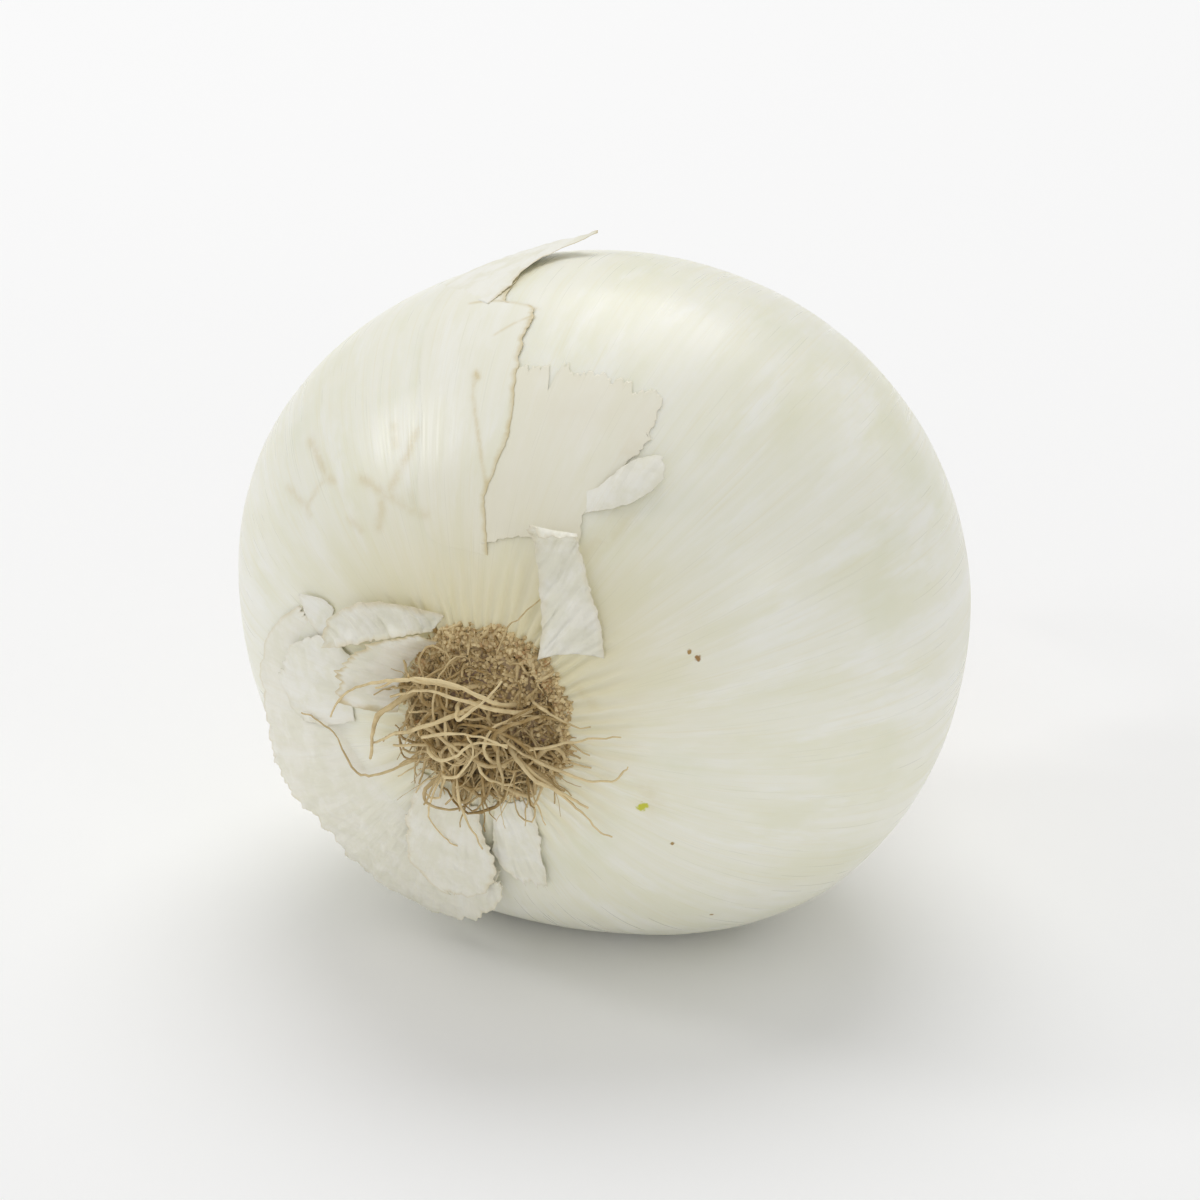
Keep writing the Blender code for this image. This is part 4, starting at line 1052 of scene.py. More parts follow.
def curly_path(draw, clock, share, length, curl, droop, lean=0.8, steps=12):
    """A root from the plate that leans outwards and curls as it dries."""
    outward = np.array([math.sin(clock), 0, math.cos(clock)])
    sideways = np.array([math.cos(clock), 0, -math.sin(clock)])
    heading = np.array([0, -1.0, 0]) + outward * share * lean + sideways * draw.uniform(-0.7, 0.7)
    heading /= np.linalg.norm(heading)
    turn = sideways * draw.uniform(-1.3, 1.3) + outward * draw.uniform(-0.4, 0.9)
    turn = turn + np.array([0, draw.uniform(0.0, 0.9), -droop])
    point = plate_point(clock, share) - heading * 0.9 * MM
    path = [point]
    for i in range(steps):
        point = point + heading * length / steps
        path.append(point)
        heading = heading + turn * curl / steps * 4
        heading = heading / np.linalg.norm(heading)
        turn = turn + np.array([draw.uniform(-1, 1) for _ in range(3)]) * 0.35
    return path


def nest_path(draw, clock, share, reach, height, length, steps=16):
    """A root that wanders over the plate and its rim and lies tangled among the others; sizes in mm."""
    at = np.array([math.sin(clock), math.cos(clock)]) * 8.6 * share
    middle = np.array([-1.3, -1.6])
    heading = draw.uniform(-math.pi, math.pi)
    turn = draw.uniform(-0.30, 0.30)
    top = draw.uniform(0.8, height)
    path = [plate_point(clock, share) + np.array([0, 0.9 * MM, 0])]
    for i in range(steps + 1):
        t = i / steps
        off = at - middle
        if np.linalg.norm(off) > reach:
            inward = math.atan2(-off[0], -off[1])
            heading += 0.55 * math.sin(inward - heading)
        step = np.array([math.sin(heading), math.cos(heading)])
        at = at + step * length / steps
        heading += turn + draw.uniform(-0.18, 0.18)
        across = min(np.linalg.norm(at) / 8.6, 1.0)
        rise = 0.35 + top * math.sin(math.pi * min(1.0, 0.15 + t * 0.95)) ** 0.8
        along = PLATE_BASE - float(dome_height(across)) - rise * MM
        path.append(MIDDLE + np.array([at[0] * MM, along, at[1] * MM]))
    return path


# Roots that stand out, from base to tip: points of (clock, polar, lift) in degrees and mm, width, tone
NOTED_ROOTS = [
    ([(-20, 8, 2), (-42, 11.3, 4.2), (-52, 13.9, 5.2), (-66.6, 17.3, 5), (-82.8, 23.3, 3.9), (-93.4, 28.7, 3), (-103.4, 34.1, 1.6)], 1.0, .1),
    ([(41, 7.9, 2.5), (13, 8.5, 4.8), (-24.6, 10.6, 5.2), (-54, 14.2, 4.8), (-79.7, 19.9, 3.2)], 1.15, .05),
    ([(56.2, 8.6, 2.5), (-2.6, 7.3, 5.5), (-42.1, 10.5, 5.3), (-78.7, 16.4, 3)], 1.1, .15),
    ([(-128, 20, .5), (-126.7, 28.7, 1.2), (-123.7, 35.6, .8), (-109.9, 36.6, .9), (-105.7, 40.6, 1.1), (-104.9, 43.5, 1.3)], .7, .35),
    ([(103.1, 10.5, 2), (91.3, 15.1, 3), (87.4, 20.2, 2.5), (88.7, 26.2, 2.2)], .85, .1),
    ([(120.6, 9.8, 2), (121.4, 15.4, 3), (127.7, 22.7, 2.5), (132.5, 28.5, 2), (132.8, 32.3, 1.5)], .95, .1),
    ([(-152.7, 9.4, 2), (-167.1, 15.7, 3), (-172.5, 23.8, 2.2), (-175.2, 30, 1.5)], .85, .15),
    ([(-147.1, 14, 1.5), (-150, 21, 2.5), (-153.6, 27.3, 1.8), (-161.3, 30.9, 1.4), (-168.1, 33.9, .8)], .55, .05),
    ([(110.5, 10.8, 2), (109.5, 15.9, 3), (111.2, 21.5, 2.5), (107.9, 26.5, 2), (99.8, 27.6, 2.2)], .85, .1),
    ([(-77.1, 14.5, 1.5), (-93.6, 18.8, 3.5), (-109.3, 22.3, 3), (-119.3, 27, 1.8)], 1.5, .25),
    ([(-28.7, 4.1, 3), (-79.1, 7, 5), (-100.7, 14.1, 4.2), (-111.5, 23.5, 2.5)], 1.1, .15),
    ([(-33.9, 5.1, 3), (-10, 4, 5.8), (15.7, 6.4, 6.2), (27.1, 10.8, 6), (28.6, 13.3, 5.5)], 1.0, .0),
    ([(-114.1, 10.1, 2), (-120, 8, 4.5), (-142.6, 4.8, 5.5), (73.1, 2.8, 6), (87.1, 7.2, 5)], 1.1, .1),
    ([(-104.4, 11.6, 2), (-100, 8, 4.5), (-66.8, 3, 5.5), (65.8, 4.8, 6), (90.6, 7.2, 5)], 1.05, .05),
    ([(-144.8, 12.8, 1.5), (-150, 10, 4), (-166.5, 7, 5), (130.1, 2.4, 6), (28.6, 2.1, 6)], 1.0, .15),
    ([(118.4, 7.9, 2), (121.5, 13.6, 3.5), (122.5, 19.5, 3), (125.5, 24.4, 2)], 1.2, .1),
    ([(60.4, 12.4, 1.5), (70, 15.5, 3), (79.9, 18.7, 2.5), (83.1, 21, 2)], .8, .3),
    ([(10, 15, .5), (12.9, 20.4, 1.6), (17.7, 23.1, 1.8), (20.6, 26.7, 1.6), (21.1, 27.9, 1.6)], .55, .5),
]


class ONION_OT_root_plate(bpy.types.Operator):
    """Make the corky plate that the roots grow from"""

    bl_idname = "onion.root_plate"
    bl_label = "Root plate"

    def execute(self, context):
        s = context.scene.onion_root
        plate_rings, skirt_rings, around = 40, 9, 160
        rings = plate_rings + skirt_rings
        clock = np.arange(around) * math.tau / around
        ragged = np.array([noise.fractal(Vector((math.sin(c) * 2.5, math.cos(c) * 2.5, 9.1)), 0.7, 2.1, 5) for c in clock])
        skirt = (1.5 + 0.55 * np.cos(clock) + 0.9 * ragged) * MM
        points = [(0, PLATE_BASE - float(dome_height(0)), 0)]
        for i in range(1, rings):
            inner = min(i, plate_rings) / plate_rings
            outer = max(i - plate_rings, 0) / (skirt_rings - 1)
            reach = PLATE_RADIUS * inner + skirt * outer
            along = np.full(around, PLATE_BASE - float(dome_height(inner)))
            if outer > 0:
                polar = np.arctan2(reach, ROOT_RIM)
                flesh = -plain_reach(clock, np.maximum(polar, MERIDIAN_POLAR[0])) * np.cos(polar)
                along = np.minimum(flesh, -ROOT_RIM * 0.97) - (0.35 - 0.6 * outer**3) * MM
            points.extend(np.stack([reach * np.sin(clock), along, reach * np.cos(clock)], -1))
        points = np.array(points) + MIDDLE
        lumps = rough_field(points, 2.2 * MM, 3, 4)
        pits = rough_field(points, 0.7 * MM, 5, 3)
        points[:, 1] -= 0.45 * MM * lumps + 0.25 * MM * pits
        base = points[-around:].copy()
        base[:, 1] = PLATE_BASE + 0.15 * MM
        base[:, [0, 2]] = MIDDLE[[0, 2]] + (base[:, [0, 2]] - MIDDLE[[0, 2]]) * 0.8
        hub = len(points) + around
        points = np.vstack([points, base, MIDDLE + (0, PLATE_BASE + 0.15 * MM, 0)])
        faces = []
        for j in range(around):
            k = (j + 1) % around
            faces.append((0, 1 + k, 1 + j))
            faces.append((hub, 1 + (rings - 1) * around + j, 1 + (rings - 1) * around + k))
        quads = grid_faces(rings, around, ring=True)[:, ::-1] + 1
        faces += [tuple(q) for q in quads]
        mesh = mesh_from("root_plate", points, faces)
        across = np.hypot(points[:, 0], points[:, 2] - AXIS_HEIGHT) / PLATE_RADIUS
        angle = np.degrees(np.arctan2(points[:, 0], points[:, 2] - AXIS_HEIGHT))
        upper = np.clip((angle + 70) / 25, 0, 1) * np.clip((140 - angle) / 25, 0, 1)
        outside = np.where(points[:, 1] < PLATE_BASE - 0.5 * MM, 1, 0)
        store(mesh, "stubble", outside * np.clip(across * 2, 0.3, 1) * np.clip(upper, 0.25, 1))
        store(mesh, "upper", upper)
        store(mesh, "rim", np.clip((across - 0.85) / 0.2, 0, 1))
        on_rim = np.clip((across - 0.8) / 0.15, 0, 1) * (points[:, 1] < PLATE_BASE + 0.4 * MM)
        store(mesh, "crumbs", on_rim * np.where(np.abs(angle) < 60, 1.0, 0.6))
        mesh.materials.append(cork_material(s))
        mesh.shade_smooth()
        plate = link_object("root_plate", mesh)
        stubble = link_object("root_stubble", mesh.copy())
        grow(stubble, stubble_tree(), {
            "Density": s.stubble * 10000.0, "Length": s.stubble_length, "Radius": 0.2 * MM, "Seed": s.seed,
            "Material": strand_material(s, "root_stub", s.brown),
        })
        crumbs = link_object("root_crumbs", mesh.copy())
        grow(crumbs, crumb_tree(), {
            "Density": s.crumbs * 10000.0, "Size": s.crumb_size, "Seed": s.seed,
            "Material": strand_material(s, "root_crumb", s.rust),
        })
        finish_piece(crumbs)
        finish_piece(plate, ["root_tuft"])
        finish_piece(stubble)
        return {"FINISHED"}


def crumb_tree():
    """Sets small crumbs of cork and skin where the crumbs attribute asks for them."""
    tree, given = new_tree("onion_crumbs", [
        ("Density", "Float"), ("Size", "Float"), ("Seed", "Int"), ("Material", "Material"),
    ])
    where = node(tree, "GeometryNodeInputNamedAttribute", {"Name": "crumbs"}, data_type="FLOAT").outputs[0]
    spots = node(tree, "GeometryNodeDistributePointsOnFaces", {
        "Mesh": given["Geometry"], "Density": calc(tree, "MULTIPLY", where, given["Density"]),
        "Seed": given["Seed"]})
    crumb = node(tree, "GeometryNodeMeshIcoSphere", {"Radius": 1.0, "Subdivisions": 1}).outputs[0]
    turned = node(tree, "FunctionNodeRandomValue", {
        0: (-math.pi, -math.pi, -math.pi), 1: (math.pi, math.pi, math.pi), "Seed": 5},
        data_type="FLOAT_VECTOR").outputs[0]
    size = node(tree, "FunctionNodeRandomValue", {
        0: (0.35, 0.25, 0.08), 1: (1.0, 0.6, 0.3), "Seed": 6}, data_type="FLOAT_VECTOR").outputs[0]
    size = node(tree, "ShaderNodeVectorMath", {0: size, "Scale": given["Size"]}, operation="SCALE").outputs[0]
    tone = node(tree, "FunctionNodeRandomValue", {2: -0.2, 3: 0.8, "Seed": 7}, data_type="FLOAT").outputs[1]
    toned = node(tree, "GeometryNodeStoreNamedAttribute", {
        "Geometry": spots.outputs["Points"], "Name": "tone", "Value": tone}, data_type="FLOAT", domain="POINT")
    placed = node(tree, "GeometryNodeInstanceOnPoints", {
        "Points": toned.outputs[0], "Instance": crumb, "Rotation": turned, "Scale": size})
    end_tree(tree, given, placed.outputs[0])
    return tree


def stubble_tree():
    """Sets short curled root ends over the plate where its stubble attribute asks for them."""
    tree, given = new_tree("onion_stubble", [
        ("Density", "Float"), ("Length", "Float"), ("Radius", "Float"), ("Seed", "Int"), ("Material", "Material"),
    ])
    where = node(tree, "GeometryNodeInputNamedAttribute", {"Name": "stubble"}, data_type="FLOAT").outputs[0]
    spots = node(tree, "GeometryNodeDistributePointsOnFaces", {
        "Mesh": given["Geometry"], "Density": calc(tree, "MULTIPLY", where, given["Density"]),
        "Seed": given["Seed"]})
    line = node(tree, "GeometryNodeCurvePrimitiveLine", {"Start": (0, 0, -0.25), "End": (0, 0, 1)})
    split = node(tree, "GeometryNodeResampleCurve", {"Curve": line.outputs[0], "Count": 5})
    along = node(tree, "GeometryNodeSplineParameter").outputs["Factor"]
    bow = calc(tree, "MULTIPLY", calc(tree, "POWER", along, 2.0), 0.5)
    bent = node(tree, "GeometryNodeSetPosition", {
        "Geometry": split.outputs[0], "Offset": node(tree, "ShaderNodeCombineXYZ", {0: bow}).outputs[0]})
    wide = calc(tree, "DIVIDE", given["Radius"], given["Length"])
    scale = calc(tree, "MULTIPLY", ramp(tree, along, 0.3, 1.0, 1.0, 0.45), wide)
    circle = node(tree, "GeometryNodeCurvePrimitiveCircle", {"Resolution": 5, "Radius": 1.0})
    bristle = node(tree, "GeometryNodeCurveToMesh", {
        "Curve": bent.outputs[0], "Profile Curve": circle.outputs[0], "Scale": scale, "Fill Caps": True})
    tilt = node(tree, "FunctionNodeRandomValue", {
        0: (-0.8, -0.8, -math.pi), 1: (0.8, 0.8, math.pi), "Seed": 2}, data_type="FLOAT_VECTOR").outputs[0]
    turned = node(tree, "FunctionNodeRotateEuler", {
        "Rotation": spots.outputs["Rotation"], "Rotate By": tilt}, rotation_type="EULER", space="LOCAL")
    size = node(tree, "FunctionNodeRandomValue", {2: 0.45, 3: 1.3, "Seed": 3}, data_type="FLOAT").outputs[1]
    size = calc(tree, "MULTIPLY", size, given["Length"])
    tone = node(tree, "FunctionNodeRandomValue", {2: 0.0, 3: 0.85, "Seed": 4}, data_type="FLOAT").outputs[1]
    toned = node(tree, "GeometryNodeStoreNamedAttribute", {
        "Geometry": spots.outputs["Points"], "Name": "tone", "Value": tone}, data_type="FLOAT", domain="POINT")
    placed = node(tree, "GeometryNodeInstanceOnPoints", {
        "Points": toned.outputs[0], "Instance": bristle.outputs[0], "Rotation": turned.outputs[0], "Scale": size})
    end_tree(tree, given, placed.outputs[0])
    return tree


class ONION_OT_roots(bpy.types.Operator):
    """Make the curly dry roots and the thin hairs between them"""

    bl_idname = "onion.roots"
    bl_label = "Roots"

    def execute(self, context):
        s = context.scene.onion_root
        ground = Ground()
        draw = random.Random(s.seed)
        tree = strand_tree()
        surface = strand_material(s, "root_strand", s.brown)
        paths, widths, tones = [], [], []
        for i in range(s.strands):
            clock = (i * GOLDEN_ANGLE + math.pi) % math.tau - math.pi
            share = 0.95 * math.sqrt((i + 0.5) / s.strands)
            upper = -math.radians(50) < clock < math.radians(110) and share > 0.35
            if upper:
                path = curly_path(draw, clock, share, draw.uniform(2.2, 4.0) * MM, 0.5, 0.4, 0.3)
            elif i % 3 == 0:
                path = curly_path(draw, clock, share, draw.uniform(5.0, 8.5) * MM, 0.4, 0.4, 0.7)
            else:
                path = nest_path(draw, clock, share, draw.uniform(7.0, 11.0), 4.2, draw.uniform(8.0, 15.0))
            paths.append(push_clear(ground, path, 0.4 * MM))
            widths.append(draw.uniform(0.5, 1.25))
            tones.append(draw.uniform(0.2, 0.95) if upper else draw.uniform(0.0, 1.0))
        for i in range(s.fringe):
            clock = math.radians(draw.uniform(-170, -50) if i % 3 else draw.uniform(95, 190))
            path = curly_path(draw, clock, draw.uniform(0.8, 1.05), draw.uniform(3.0, 6.5) * MM, 0.4, 0.5, 1.5)
            paths.append(push_clear(ground, path, 0.3 * MM))
            widths.append(draw.uniform(0.5, 1.2))
            tones.append(draw.uniform(0.0, 0.9))
        for row, width, tone in NOTED_ROOTS:
            line = np.array(row, float)
            clocks, polars = np.radians(line[:, 0]), np.radians(line[:, 1])
            at = MIDDLE + direction(clocks, polars) * (plain_reach(clocks, polars) + line[:, 2] * MM)[:, None]
            inward = at[0] + (at[0] - at[1]) / np.linalg.norm(at[0] - at[1]) * 1.5 * MM + (0, 1.5 * MM, 0)
            paths.append(push_clear(ground, spline([inward, *at], 5), 0.4 * MM))
            widths.append(width)
            tones.append(tone)
        roots = strands("root_strands", paths, widths, tones, tree, {
            "Radius": s.strand_radius, "Tip Share": 0.45, "Kink Height": 1.1 * MM, "Kink Size": 2.2 * MM,
            "Sides": 6, "Material": surface,
        })
        finish_piece(roots)
        paths, widths, tones = [], [], []
        for i in range(s.hairs):
            clock = draw.uniform(-math.pi, math.pi)
            share = math.sqrt(draw.uniform(0.05, 1.0)) * 0.98
            upper = -math.radians(40) < clock < math.radians(105)
            length = draw.uniform(2.0, 4.0) if upper else draw.uniform(3.0, 8.0)
            path = curly_path(draw, clock, share, length * MM, 0.5, 0.3)
            paths.append(push_clear(ground, path, 0.2 * MM))
            widths.append(draw.uniform(0.6, 1.2))
            tones.append(draw.uniform(0.0, 0.5))
        hairs = strands("root_hairs", paths, widths, tones, tree, {
            "Radius": s.hair_radius, "Tip Share": 0.5, "Kink Height": 1.0 * MM, "Kink Size": 1.5 * MM,
            "Sides": 4, "Material": surface,
        })
        finish_piece(hairs)
        return {"FINISHED"}


# ---- neck leaves ----

LEAF_START = NECK_END + 0.3 * MM
KNOT = MIDDLE + np.array([0, LEAF_START + 5.0 * MM, 0])
# Ribbons of dry leaf: width at the knot and at the tip in mm, points in mm from the knot's middle as
# (right, along, up), the twist in degrees at the knot and at the tip, and how torn the tip is in mm
LEAF_RIBBONS = [
    (5.0, 6.6, [(0, -3, -1), (-2, 3, -3), (-5, 11, -4), (-10, 20, -6), (-15, 27, -9)], (10, 40), 4.5),
    (4.6, 6.2, [(0, -3, 0), (0, 4, -2), (0, 12, -6), (1, 19, -11), (1, 25, -15)], (-15, 25), 5.0),
    (4.0, 5.2, [(0, -3, 0), (-2, 4, -4), (-4, 12, -10), (-5, 19, -16), (-5, 24, -20)], (30, -35), 4.0),
    (3.4, 3.0, [(0, -1, 0), (-4, 1, 3), (-7, 3, 6), (-9, 5, 9), (-12, 7, 11)], (70, 40), 2.0),
    (5.4, 7.0, [(0, 1, 0), (4, 1, -3), (8, 0, -7), (9, -3, -13), (7, -5, -19)], (80, 95), 3.0),
]
# Leaves wound round the knot: lean in degrees, shift along the axis in mm, and how oval the ring is
LEAF_BANDS = [(14, -0.6, 0.04), (-24, 0.8, 0.07)]


def leaf_material(s):
    """Dried leaf: bleached between tan fibres and streaks, with tan patches."""
    made, tree, shader = new_material("dry_leaf", 0.75, 0.25)
    fibres = grain_noise(tree, 0.35, 16, 3.0, 0.6)
    streaks = grain_noise(tree, 1.6, 24, 3.0, 0.6, 2.0)
    patches = place_noise(tree, 7 * MM, 3.0, 0.6)
    share = calc(tree, "MULTIPLY_ADD", fibres, 0.9, calc(tree, "MULTIPLY_ADD", streaks, 1.0, -0.55))
    share = calc(tree, "ADD", share, calc(tree, "MULTIPLY_ADD", patches, 0.9, -0.45), clamp=True)
    colour = blend_colour(tree, share, s.pale, s.tan)
    tree.links.new(colour, shader.inputs["Base Color"])
    bump(tree, shader, fibres, 0.3 * MM, 0.7)
    return made


def ribbon_grid(ribbon, seed, rib_height):
    """Points and grain of one ribbon of dry leaf, ribbed along its length and torn at its tip."""
    low, high, path, twist, torn = ribbon
    rows, columns = 84, 37
    line = spline(path, 24) * MM
    steps = np.linspace(0, 1, len(line))
    length = np.linalg.norm(np.diff(line, axis=0), axis=1).sum()
    across = np.linspace(-0.5, 0.5, columns)
    teeth = torn * MM * (0.5 * rough_line(across * 9, seed, 5) - 0.35 * np.abs(rough_line(across * 3, seed + 1, 2)))
    edge = 0.5 + 0.055 * rough_line(np.linspace(0, 9, rows), seed + 2, 4)
    ribs = np.abs(rough_line(across * 11, seed + 3, 3))
    points = np.empty((rows, columns, 3))
    grain = np.empty((rows, columns, 3))
    for i in range(rows):
        base = i / (rows - 1)
        width = (low + (high - low) * base) * MM
        for j in range(columns):
            share = min(base * (1 + teeth[j] / length), 1.02)
            at = np.array([np.interp(share, steps, line[:, k]) for k in range(3)])
            ahead = np.array([np.interp(min(share + 0.02, 1), steps, line[:, k]) for k in range(3)])
            behind = np.array([np.interp(max(share - 0.02, 0), steps, line[:, k]) for k in range(3)])
            run = Vector(ahead - behind).normalized()
            side = Vector((0.25, 0, 1)).cross(run).normalized()
            side.rotate(Matrix.Rotation(math.radians(twist[0] + (twist[1] - twist[0]) * share), 3, run))
            face = np.array(side.cross(run))
            s = across[j] * 2 * edge[i]
            cup = 0.9 * MM * (1 - 4 * across[j] ** 2) * (1 - 0.5 * share)
            wave = 0.35 * MM * noise.fractal(Vector((across[j] * 2.4, base * 7, seed)), 1.0, 2.0, 3)
            points[i, j] = KNOT + at + np.array(side) * s * width + face * (cup + ribs[j] * rib_height * 2 + wave)
            grain[i, j] = (across[j] * width / MM, seed * 9, share * length / MM)
    return points, grain


def band_grid(lean_degrees, shift, oval, seed, rib_height):
    """Points and grain of a leaf wound once round the knot."""
    rows, columns = 120, 26
    lean = math.tan(math.radians(lean_degrees))
    points = np.empty((rows, columns, 3))
    grain = np.empty((rows, columns, 3))
    across = np.linspace(-0.5, 0.5, columns)
    ribs = rough_line(across * 9, seed, 3)
    for i in range(rows):
        turn = math.tau * i / rows
        outward = np.array([math.sin(turn), 0, math.cos(turn)])
        wave = math.sin(2 * turn)
        for j in range(columns):
            wander = noise.fractal(Vector((outward[0] * 2, outward[2] * 2, seed + across[j])), 1.0, 2.0, 3)
            reach = (5.4 * (1 + oval * wave) + 0.5 * (1 - 4 * across[j] ** 2)) * MM
            reach += rib_height * 1.4 * ribs[j] + 0.22 * MM * wander
            along = (shift + across[j] * 4.2 * (1 + 0.2 * wave)) * MM + reach * math.cos(turn) * lean
            points[i, j] = KNOT + outward * reach + (0, along, 0)
            grain[i, j] = (across[j] * 4.2, seed * 9 + 2 * math.sin(turn), 5.4 * abs(turn - math.pi))
    return points, grain


def stub_mesh(seed, rib_height):
    """The fluted, twisted stub that the neck dries down to."""
    outline = [(0.0, 0.0), (4.8, 0.0), (4.8, 1.2), (5.2, 3.2), (5.4, 5.0), (5.2, 6.8), (3.8, 8.4), (2.2, 10.0), (0.0, 10.0)]
    line = np.vstack([outline[:1], spline(outline[1:-1], 8), outline[-1:]]) * MM
    around = 144
    clock = np.arange(around) * math.tau / around
    points, grain = [], []
    for radius, along in line:
        twisted = clock + along * 90.0
        flute = 1 + 0.05 * np.cos(8 * twisted)
        ribs = np.array([noise.fractal(Vector((math.sin(t) * 6, math.cos(t) * 6, seed)), 0.8, 2.0, 3) for t in twisted])
        reach = radius * flute + rib_height * ribs * (radius > 0)
        points.extend(np.stack([
            reach * np.sin(clock), np.full(around, LEAF_START + along), reach * np.cos(clock)], -1))
        grain.extend(np.stack([
            5 * np.sin(twisted), 5 * np.cos(twisted), np.full(around, along / MM)], -1))
    mesh = mesh_from("leaf_stub", np.array(points) + MIDDLE, grid_faces(len(line), around, ring=True)[:, ::-1])
    store(mesh, "grain", grain)
    work = bmesh.new()
    work.from_mesh(mesh)
    bmesh.ops.remove_doubles(work, verts=work.verts, dist=1e-7)
    bmesh.ops.recalc_face_normals(work, faces=work.faces)
    work.to_mesh(mesh)
    work.free()
    return mesh


def leaf_sheet(name, points, grain, thickness, surface, ring=False):
    """One sheet of leaf with its thickness; as a ring, its last row meets the first."""
    rows, columns = points.shape[:2]
    if ring:
        faces = grid_faces(columns, rows, ring=True)
        points, grain = points.transpose(1, 0, 2), grain.transpose(1, 0, 2)
    else:
        faces = grid_faces(rows, columns)
    mesh = mesh_from(name, points.reshape(-1, 3), faces)
    store(mesh, "grain", grain.reshape(-1, 3))
    obj = link_object(name, mesh)
    obj.data.materials.append(surface)
    wall = obj.modifiers.new("thickness", "SOLIDIFY")
    wall.thickness = thickness
    wall.offset = 0.0
    graph = bpy.context.evaluated_depsgraph_get()
    mesh = bpy.data.meshes.new_from_object(obj.evaluated_get(graph))
    obj.modifiers.clear()
    obj.data = mesh
    work = bmesh.new()
    work.from_mesh(mesh)
    bmesh.ops.recalc_face_normals(work, faces=work.faces)
    work.to_mesh(mesh)
    work.free()
    return obj


class ONION_OT_leaves(bpy.types.Operator):
    """Make the knotted neck leaves and the fibres frayed from them"""

    bl_idname = "onion.leaves"
    bl_label = "Neck leaves"

    def execute(self, context):
        s = context.scene.onion_leaf
        surface = leaf_material(s)
        stub = link_object("leaf_stub", stub_mesh(s.seed, s.rib_height))
        stub.data.materials.append(surface)
        finish_piece(stub, ["neck_leaves"])
        draw = random.Random(s.seed)
        paths, widths, tones = [], [], []
        for i, ribbon in enumerate(LEAF_RIBBONS):
            points, grain = ribbon_grid(ribbon, s.seed + i * 5, s.rib_height)
            piece = leaf_sheet(f"leaf_ribbon_{i + 1}", points, grain, s.thickness, surface)
            finish_piece(piece)
            for _ in range(s.fibres):
                column = draw.randrange(points.shape[1])
                start = draw.randrange(30, points.shape[0] - 14)
                run = points[start:start + draw.randrange(10, 50):2, column]
                away = np.array([draw.uniform(-1, 1) for _ in range(3)]) * 0.9 * MM
                rise = np.linspace(0, 1, len(run))[:, None] ** 1.5
                paths.append(run + away * rise)
                widths.append(draw.uniform(0.6, 1.2))
                tones.append(draw.uniform(0.0, 1.0))
        for i, (lean, shift, oval) in enumerate(LEAF_BANDS):
            points, grain = band_grid(lean, shift, oval, s.seed + 40 + i, s.rib_height)
            piece = leaf_sheet(f"leaf_band_{i + 1}", points, grain, 1.0 * MM, surface, ring=True)
            finish_piece(piece)
        fibres = strands("leaf_fibres", paths, widths, tones, strand_tree(), {
            "Radius": 0.11 * MM, "Tip Share": 0.5, "Kink Height": 0.5 * MM, "Kink Size": 3 * MM, "Sides": 4,
            "Material": fibre_material(s),
        })
        finish_piece(fibres)
        return {"FINISHED"}


def fibre_material(s):
    """Loose leaf fibres, each pale or tan by its own tone."""
    made, tree, shader = new_material("leaf_fibre", 0.7, 0.25)
    tone = node(tree, "ShaderNodeAttribute", attribute_name="tone").outputs["Fac"]
    patches = place_noise(tree, 3 * MM, 2.0, 0.5)
    colour = blend_colour(tree, calc(tree, "MULTIPLY", tone, patches), s.pale, s.tan)
    tree.links.new(colour, shader.inputs["Base Color"])
    return made


# ---- stage ----


def add_light(name, place, aim, size, power, colour=(1, 1, 1)):
    """A soft square light that looks at a point."""
    lamp = bpy.data.lights.new(name, "AREA")
    lamp.shape = "DISK"
    lamp.size = size
    lamp.energy = power
    lamp.color = colour
    obj = bpy.data.objects.new(name, lamp)
    bpy.context.scene.collection.objects.link(obj)
    obj.location = place
    obj.rotation_euler = (Vector(aim) - Vector(place)).to_track_quat("-Z", "Y").to_euler()


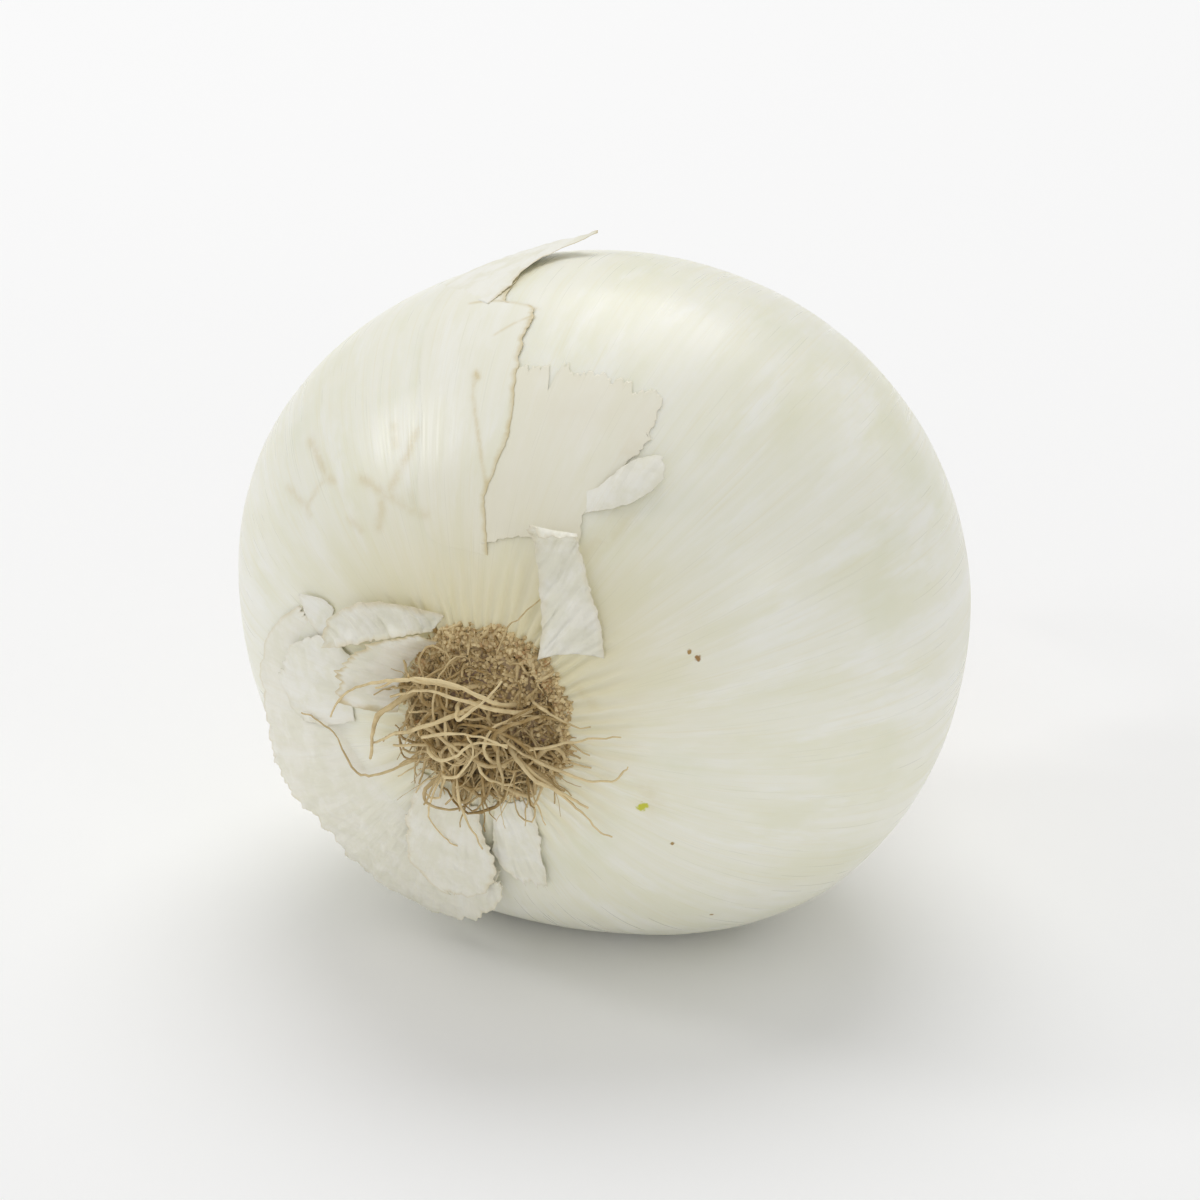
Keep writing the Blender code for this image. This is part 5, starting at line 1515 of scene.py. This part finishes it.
class ONION_OT_stage(bpy.types.Operator):
    """Make the floor, the lights and the camera"""

    bl_idname = "onion.stage"
    bl_label = "Stage"

    def execute(self, context):
        s = context.scene.onion_stage
        scene = context.scene
        scene.view_settings.view_transform = "Standard"
        world = bpy.data.worlds.new("studio")
        world.use_nodes = True
        world.node_tree.nodes["Background"].inputs["Color"].default_value = (1, 1, 1, 1)
        world.node_tree.nodes["Background"].inputs["Strength"].default_value = 0.55
        scene.world = world
        floor = link_object("floor", mesh_from("floor", [
            (-4, -4, 0), (4, -4, 0), (4, 4, 0), (-4, 4, 0)], [(0, 1, 2, 3)]))
        made, tree, shader = new_material("floor_paper", 0.9, 0.1)
        wash = place_noise(tree, 0.3, 2.0)
        pale = tuple(s.floor)
        tree.links.new(blend_colour(tree, wash, pale, [c * 0.99 for c in pale]), shader.inputs["Base Color"])
        floor.data.materials.append(made)
        middle = Vector(MIDDLE)
        add_light("light_top", middle + Vector((-0.14, 0.42, 0.90)), middle, 0.8, 4.0)
        add_light("light_left", middle + Vector((-0.82, -0.20, 0.52)), middle, 0.22, 1.15)
        add_light("light_right", middle + Vector((0.80, -0.55, 0.28)), middle, 0.24, 0.5)
        add_light("light_front", middle + Vector((0.30, -1.10, 0.15)), middle, 1.1, 0.9)
        camera = bpy.data.objects.new("camera", bpy.data.cameras.new("camera"))
        scene.collection.objects.link(camera)
        back = Vector((
            math.sin(s.azimuth) * math.cos(s.elevation), -math.cos(s.azimuth) * math.cos(s.elevation),
            math.sin(s.elevation)))
        camera.location = middle + back * s.distance
        camera.rotation_euler = back.to_track_quat("Z", "Y").to_euler()
        camera.data.sensor_width = 36
        camera.data.lens = 36 * s.distance / s.frame_width
        camera.data.clip_start = 0.05
        camera.data.clip_end = 20
        scene.camera = camera
        return {"FINISHED"}


OPERATORS = [
    ONION_OT_flesh, ONION_OT_laid_skin, ONION_OT_neck_skin, ONION_OT_flaps, ONION_OT_root_plate,
    ONION_OT_roots, ONION_OT_leaves, ONION_OT_stage,
]


class VIEW3D_PT_onion(bpy.types.Panel):
    """The onion's pieces in the sidebar"""

    bl_label = "White Onion"
    bl_space_type = "VIEW_3D"
    bl_region_type = "UI"
    bl_category = "Onion"

    def draw(self, context):
        layout = self.layout
        for operator in OPERATORS:
            layout.operator(operator.bl_idname)
        for key, group in SETTINGS.items():
            box = layout.box()
            box.label(text=group.__doc__)
            for label in group.__annotations__:
                box.prop(getattr(context.scene, key), label)


CLASSES = [*SETTINGS.values(), *OPERATORS, VIEW3D_PT_onion]


def register():
    """Registers the classes and the settings."""
    for item in CLASSES:
        bpy.utils.register_class(item)
    for key, group in SETTINGS.items():
        setattr(bpy.types.Scene, key, PointerProperty(type=group))


def unregister():
    """Removes the settings and the classes."""
    for key in SETTINGS:
        delattr(bpy.types.Scene, key)
    for item in reversed(CLASSES):
        bpy.utils.unregister_class(item)


def main():
    """Makes every piece in order."""
    register()
    bpy.ops.onion.flesh()
    bpy.ops.onion.laid_skin()
    bpy.ops.onion.neck_skin()
    bpy.ops.onion.flaps()
    bpy.ops.onion.root_plate()
    bpy.ops.onion.roots()
    bpy.ops.onion.leaves()
    bpy.ops.onion.stage()


if __name__ == "__main__":
    main()
